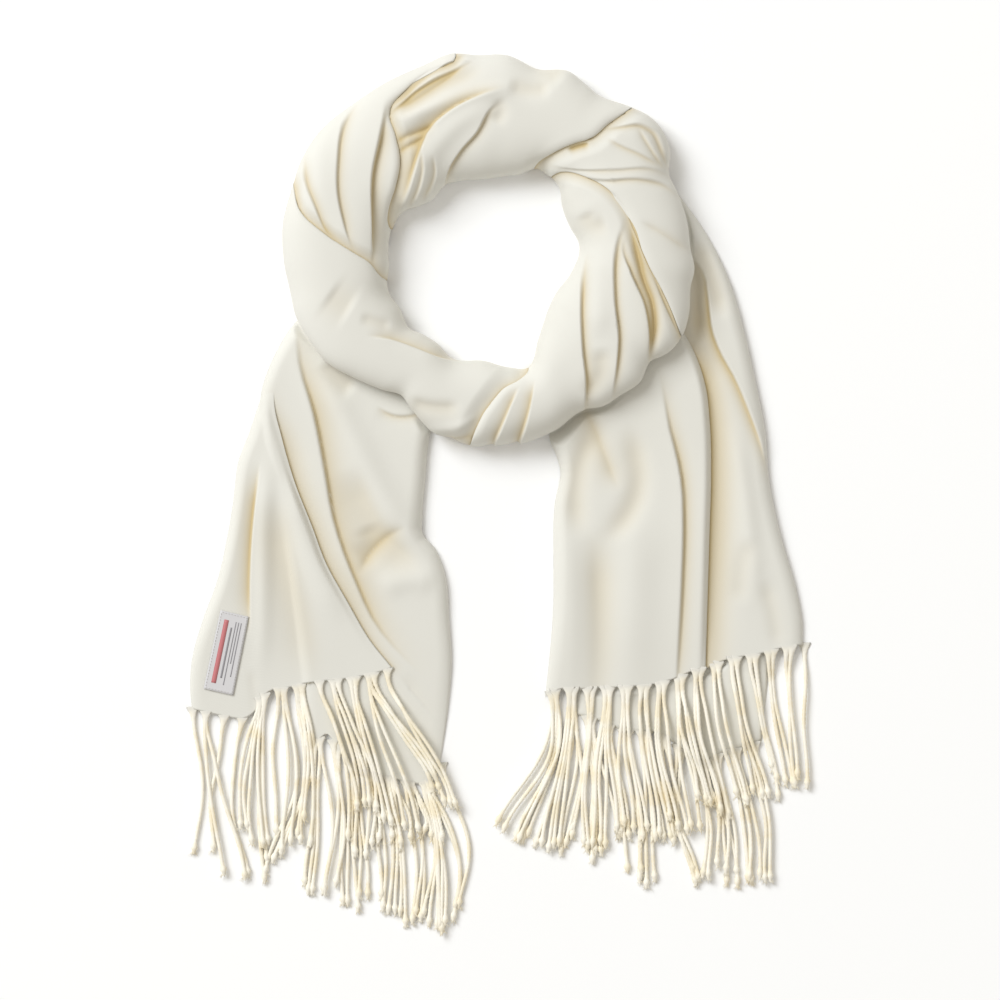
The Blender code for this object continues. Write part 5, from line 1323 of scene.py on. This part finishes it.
# Tones as red, green, blue and 1, textures' scales for each metre, and ribs' pitches in metres
CLOTH_COLOUR, YARN_COLOUR = (0.72, 0.70, 0.64), (0.92, 0.89, 0.79)  # for where nodes aren't read
CLOTH_TONES = ((0.745, 0.732, 0.672, 1), (0.782, 0.772, 0.716, 1))
# the warm tan of the painted shade in folds and beside overlapping edges
PAINTED_SHADE_TONE = (0.60, 0.485, 0.27, 1)
# the yarn's warm tan of painted shade, then its own cream; noise patches mix them
YARN_PAINTED_SHADE_AND_TONE = ((0.93, 0.845, 0.655, 1), (0.985, 0.94, 0.825, 1))
YARN_PARTED = (0.36, 0.56)  # the noise between which the yarn's tone changes
WARP_TONE = (0.73, 0.71, 0.65, 1)
SHEEN_TINT = (1.0, 0.98, 0.93, 1)
SHEEN_ROUGHNESS = 0.45
MATT_GLOSS, SATIN_GLOSS = 0.2, 0.5
WAVE_PITCH = math.pi / 10  # a wave texture's own pitch
RIB_PITCH, THREAD_PITCH, FIBRE_PITCH, SATIN_PITCH = 0.0013, 0.0007, 0.0008, 0.0006
RIB_TURN, THREAD_TURN, FIBRE_TURN, SATIN_TURN = 38, -52, 30, 90
NAP_SCALE, TONE_SCALE = 900.0, 14.0
FUZZ_SCALE, YARN_TONE_SCALE = 1500.0, 60.0
RIB_SHADE = 0.015  # how much the ribs darken the cloth
RIB_HEIGHT, THREAD_HEIGHT, FIBRE_HEIGHT = 0.7, 0.3, 0.8  # beside the nap's or fuzz's height of 1
YARN_BUMP = 0.3


def plain_finish(name, colour, roughness, gloss):
    """A material with its shader's plain numbers set, and its tree and shader."""
    material = bpy.data.materials.new(name)
    material.use_nodes = True
    shader = material.node_tree.nodes["Principled BSDF"]
    shader.inputs["Base Color"].default_value = (*colour, 1)
    shader.inputs["Roughness"].default_value = roughness
    shader.inputs["Specular IOR Level"].default_value = gloss
    return material, material.node_tree, shader


def cloth_like(name, colour, roughness, sheen, gloss=MATT_GLOSS):
    """A plain finish with the soft sheen of fibres."""
    material, tree, shader = plain_finish(name, colour, roughness, gloss)
    shader.inputs["Metallic"].default_value = 0
    shader.inputs["Sheen Weight"].default_value = sheen
    shader.inputs["Sheen Roughness"].default_value = SHEEN_ROUGHNESS
    shader.inputs["Sheen Tint"].default_value = SHEEN_TINT
    return material, tree, shader


def node(tree, kind, settings=(), **inputs):
    """A node with its settings and inputs.

    An input is named, with _ for each space, or numbered as in i0. It is a number, a colour or another
    node's output.
    """
    made = tree.nodes.new(kind)
    for key, value in dict(settings).items():
        setattr(made, key, value)
    for key, value in inputs.items():
        socket = made.inputs[int(key[1:])] if key[1:].isdigit() else made.inputs[key.replace("_", " ")]
        if isinstance(value, bpy.types.NodeSocket):
            tree.links.new(value, socket)
        else:
            socket.default_value = value
    return made


def twill(tree, pitch, turned, distortion=0.4):
    """Fine ribs along the piece's own weave map, at a pitch in metres and turned by some degrees."""
    place = node(tree, "ShaderNodeUVMap", {"uv_map": "weave"}).outputs["UV"]
    mapped = node(tree, "ShaderNodeMapping", Vector=place, Rotation=(0, 0, math.radians(turned)))
    settings = {"wave_type": "BANDS", "bands_direction": "X", "wave_profile": "SIN"}
    return node(tree, "ShaderNodeTexWave", settings, Vector=mapped.outputs["Vector"],
                Scale=WAVE_PITCH / pitch, Distortion=distortion, Detail=1.0, Detail_Scale=2.0)


def noise(tree, scale, detail=2.0):
    """Noise from 0 to 1 in the object's own space."""
    place = node(tree, "ShaderNodeTexCoord").outputs["Object"]
    return node(tree, "ShaderNodeTexNoise", Vector=place, Scale=scale, Detail=detail).outputs["Fac"]


def attribute(tree, name):
    """A number that a piece carries at each of its points."""
    return node(tree, "ShaderNodeAttribute", {"attribute_name": name}).outputs["Fac"]


def mixed(tree, share, first, second, blend="MIX"):
    """Two colours mixed, or one multiplied by the other, by a share of the second."""
    settings = {"data_type": "RGBA", "blend_type": blend}
    return node(tree, "ShaderNodeMix", settings, Factor=share, i6=first, i7=second).outputs[2]


def times_plus(tree, value, factor, more):
    """A value times a factor, plus some more."""
    settings = {"operation": "MULTIPLY_ADD"}
    return node(tree, "ShaderNodeMath", settings, i0=value, i1=factor, i2=more).outputs[0]


def add_bump(tree, shader, height, strength, distance):
    """Makes a shader's surface look raised by a height times a distance in metres."""
    bump = node(tree, "ShaderNodeBump", Strength=strength, Distance=distance, Height=height)
    tree.links.new(bump.outputs["Normal"], shader.inputs["Normal"])


def cloth_finish():
    """Fine wool twill: diagonal ribs, a soft nap, slow changes of tone, and painted warm shade in folds."""
    material, tree, shader = cloth_like("wool_twill", CLOTH_COLOUR, roughness=0.85, sheen=0.2)
    ribs = twill(tree, RIB_PITCH, RIB_TURN)
    threads = twill(tree, THREAD_PITCH, THREAD_TURN, distortion=1.2)
    tone = mixed(tree, noise(tree, TONE_SCALE), *CLOTH_TONES)
    ribbed = mixed(tree, RIB_SHADE, tone, ribs.outputs["Color"], "MULTIPLY")
    # painted shade: the cloth turns towards a warm tan as the attribute rises
    deep = mixed(tree, attribute(tree, "painted_shade"), ribbed, PAINTED_SHADE_TONE)
    tree.links.new(deep, shader.inputs["Base Color"])
    height = times_plus(tree, ribs.outputs["Fac"], RIB_HEIGHT, noise(tree, NAP_SCALE, detail=3.0))
    height = times_plus(tree, threads.outputs["Fac"], THREAD_HEIGHT, height)
    add_bump(tree, shader, height, strength=0.09, distance=0.0002)
    return material


def yarn_finish():
    """Twisted wool yarn: fine fibres that run along each ply, and a slightly yellower cream."""
    material, tree, shader = cloth_like("twisted_yarn", YARN_COLOUR, roughness=0.9, sheen=0.2)
    fibres = twill(tree, FIBRE_PITCH, FIBRE_TURN, distortion=2.0)
    # patches of painted shade: noise turns the yarn a warm tan in places, for the shade between strands
    parted = node(tree, "ShaderNodeMapRange", Value=noise(tree, YARN_TONE_SCALE),
                  From_Min=YARN_PARTED[0], From_Max=YARN_PARTED[1])
    tone = mixed(tree, parted.outputs["Result"], *YARN_PAINTED_SHADE_AND_TONE)
    warp = attribute(tree, "gathered")
    tree.links.new(mixed(tree, warp, tone, WARP_TONE), shader.inputs["Base Color"])
    height = times_plus(tree, fibres.outputs["Fac"], FIBRE_HEIGHT, noise(tree, FUZZ_SCALE, detail=3.0))
    loose = times_plus(tree, warp, -YARN_BUMP, YARN_BUMP)
    add_bump(tree, shader, height, strength=loose, distance=0.0003)
    return material


def satin_finish(name, colour):
    """Woven satin ribbon: very fine ribs across it and a soft gloss."""
    material, tree, shader = cloth_like(name, colour, roughness=0.45, sheen=0.1, gloss=SATIN_GLOSS)
    ribs = twill(tree, SATIN_PITCH, SATIN_TURN, distortion=0.2)
    add_bump(tree, shader, ribs.outputs["Fac"], strength=0.3, distance=0.0001)
    return material


# ---------------------------------------------------------------------------------- stage


# Lengths in metres, and the lights' power in watts
FLOOR_REACH, FLOOR_LEVEL = 6.0, -0.0002
FLOOR_CORNERS = ((-1, -1), (1, -1), (1, 1), (-1, 1))
FLOOR_COLOUR, FLOOR_ROUGHNESS, FLOOR_GLOSS = (0.995, 0.998, 1.0), 0.7, 0.1
Light = namedtuple("Light", "name place size power colour")
LIGHTS = (
    Light("key", (-6.8, 5.6, 8.4), 6.4, 1215, (0.945, 0.97, 1.0)),
    Light("fill", (3.6, -3.0, 4.4), 4.0, 20, (1, 1, 1)),
)
SURROUND, SURROUND_STRENGTH = (1.0, 0.96, 0.885, 1), 0.49
CAMERA_HEIGHT = 4.0
CAMERA_VIEW = 0.750  # side of the square that the picture shows at the floor
CAMERA_CENTRE = (0.00125, -0.00043)
CAMERA_END = 50
SENSOR_WIDTH = 36  # mm


def add_floor():
    """A plain pale floor, wide enough for every view."""
    mesh = bpy.data.meshes.new("floor")
    corners = [(x * FLOOR_REACH, y * FLOOR_REACH, FLOOR_LEVEL) for x, y in FLOOR_CORNERS]
    mesh.from_pydata(corners, [], [(0, 1, 2, 3)])
    floor = new_object("floor", mesh)
    mesh.materials.append(plain_finish("white_floor", FLOOR_COLOUR, FLOOR_ROUGHNESS, FLOOR_GLOSS)[0])


def add_light(light):
    """A soft square light that faces the origin."""
    data = bpy.data.lights.new(light.name, "AREA")
    data.shape = "SQUARE"
    data.size = light.size
    data.energy = light.power
    data.color = light.colour
    lamp = new_object(light.name, data)
    lamp.location = light.place
    lamp.rotation_euler = (-Vector(light.place)).to_track_quat("-Z", "Y").to_euler()


def add_studio():
    """A large soft light from the upper left, a weak one opposite, and an even pale surround."""
    for light in LIGHTS:
        add_light(light)
    world = bpy.data.worlds.new("surround")
    world.use_nodes = True
    background = world.node_tree.nodes["Background"]
    background.inputs["Color"].default_value = SURROUND
    background.inputs["Strength"].default_value = SURROUND_STRENGTH
    bpy.context.scene.world = world
    bpy.context.scene.view_settings.view_transform = "Standard"


def add_camera():
    """A long lens that looks straight down."""
    data = bpy.data.cameras.new("camera")
    data.sensor_width = SENSOR_WIDTH
    data.lens = SENSOR_WIDTH * CAMERA_HEIGHT / CAMERA_VIEW
    data.clip_end = CAMERA_END
    camera = new_object("camera", data)
    camera.location = (*CAMERA_CENTRE, CAMERA_HEIGHT)
    bpy.context.scene.camera = camera


# ---------------------------------------------------------------------------------- the shawl


def add_shawl():
    """Every piece of the shawl, and what each sheet of cloth is cut to."""
    twill_cloth = cloth_finish()
    yarn = yarn_finish()
    for name, stretch in STRETCHES.items():
        faces = stretch_points(name)
        cloth_shell(name + "_cloth", *faces, twill_cloth, [name], [stretch.lies_on])
    ring_layers("ring_inner_layers", twill_cloth, ["ring_core"])
    panels = (
        ("left_back_cloth", LEFT_BACK, left_back_face, "left_tail_back", ["left_inner_layers"]),
        ("left_front_cloth", LEFT_FRONT, left_front_face, "left_tail_front", ["left_back_cloth"]),
        ("right_side_cloth", RIGHT_SIDE, right_side_face, "right_tail_side", ["right_back_layers"]),
        ("right_front_cloth", RIGHT_FRONT, right_front_face, "right_tail_front", ["right_side_cloth"]),
    )
    for name, panel, face, cad_node, lies_on in panels:
        faces = panel_points(panel, face)
        cloth_shell(name, *faces, twill_cloth, [cad_node], lies_on, "laid")
    hidden_shell("left_inner_layers", LEFT_CORE_EDGES, left_core_height, twill_cloth, ["left_tail_core"])
    hidden_shell("right_back_layers", RIGHT_BACK_EDGES, right_back_height, twill_cloth, ["right_tail_back"])
    for fringe in FRINGES:
        add_fringe(fringe, yarn)
    add_label()


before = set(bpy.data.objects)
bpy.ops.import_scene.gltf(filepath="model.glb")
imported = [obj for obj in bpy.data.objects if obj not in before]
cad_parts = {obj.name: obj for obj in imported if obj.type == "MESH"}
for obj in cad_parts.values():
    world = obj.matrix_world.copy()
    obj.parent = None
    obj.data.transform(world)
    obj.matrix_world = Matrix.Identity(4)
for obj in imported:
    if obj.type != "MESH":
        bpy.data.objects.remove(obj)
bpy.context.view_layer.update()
add_shawl()
add_floor()
add_studio()
add_camera()
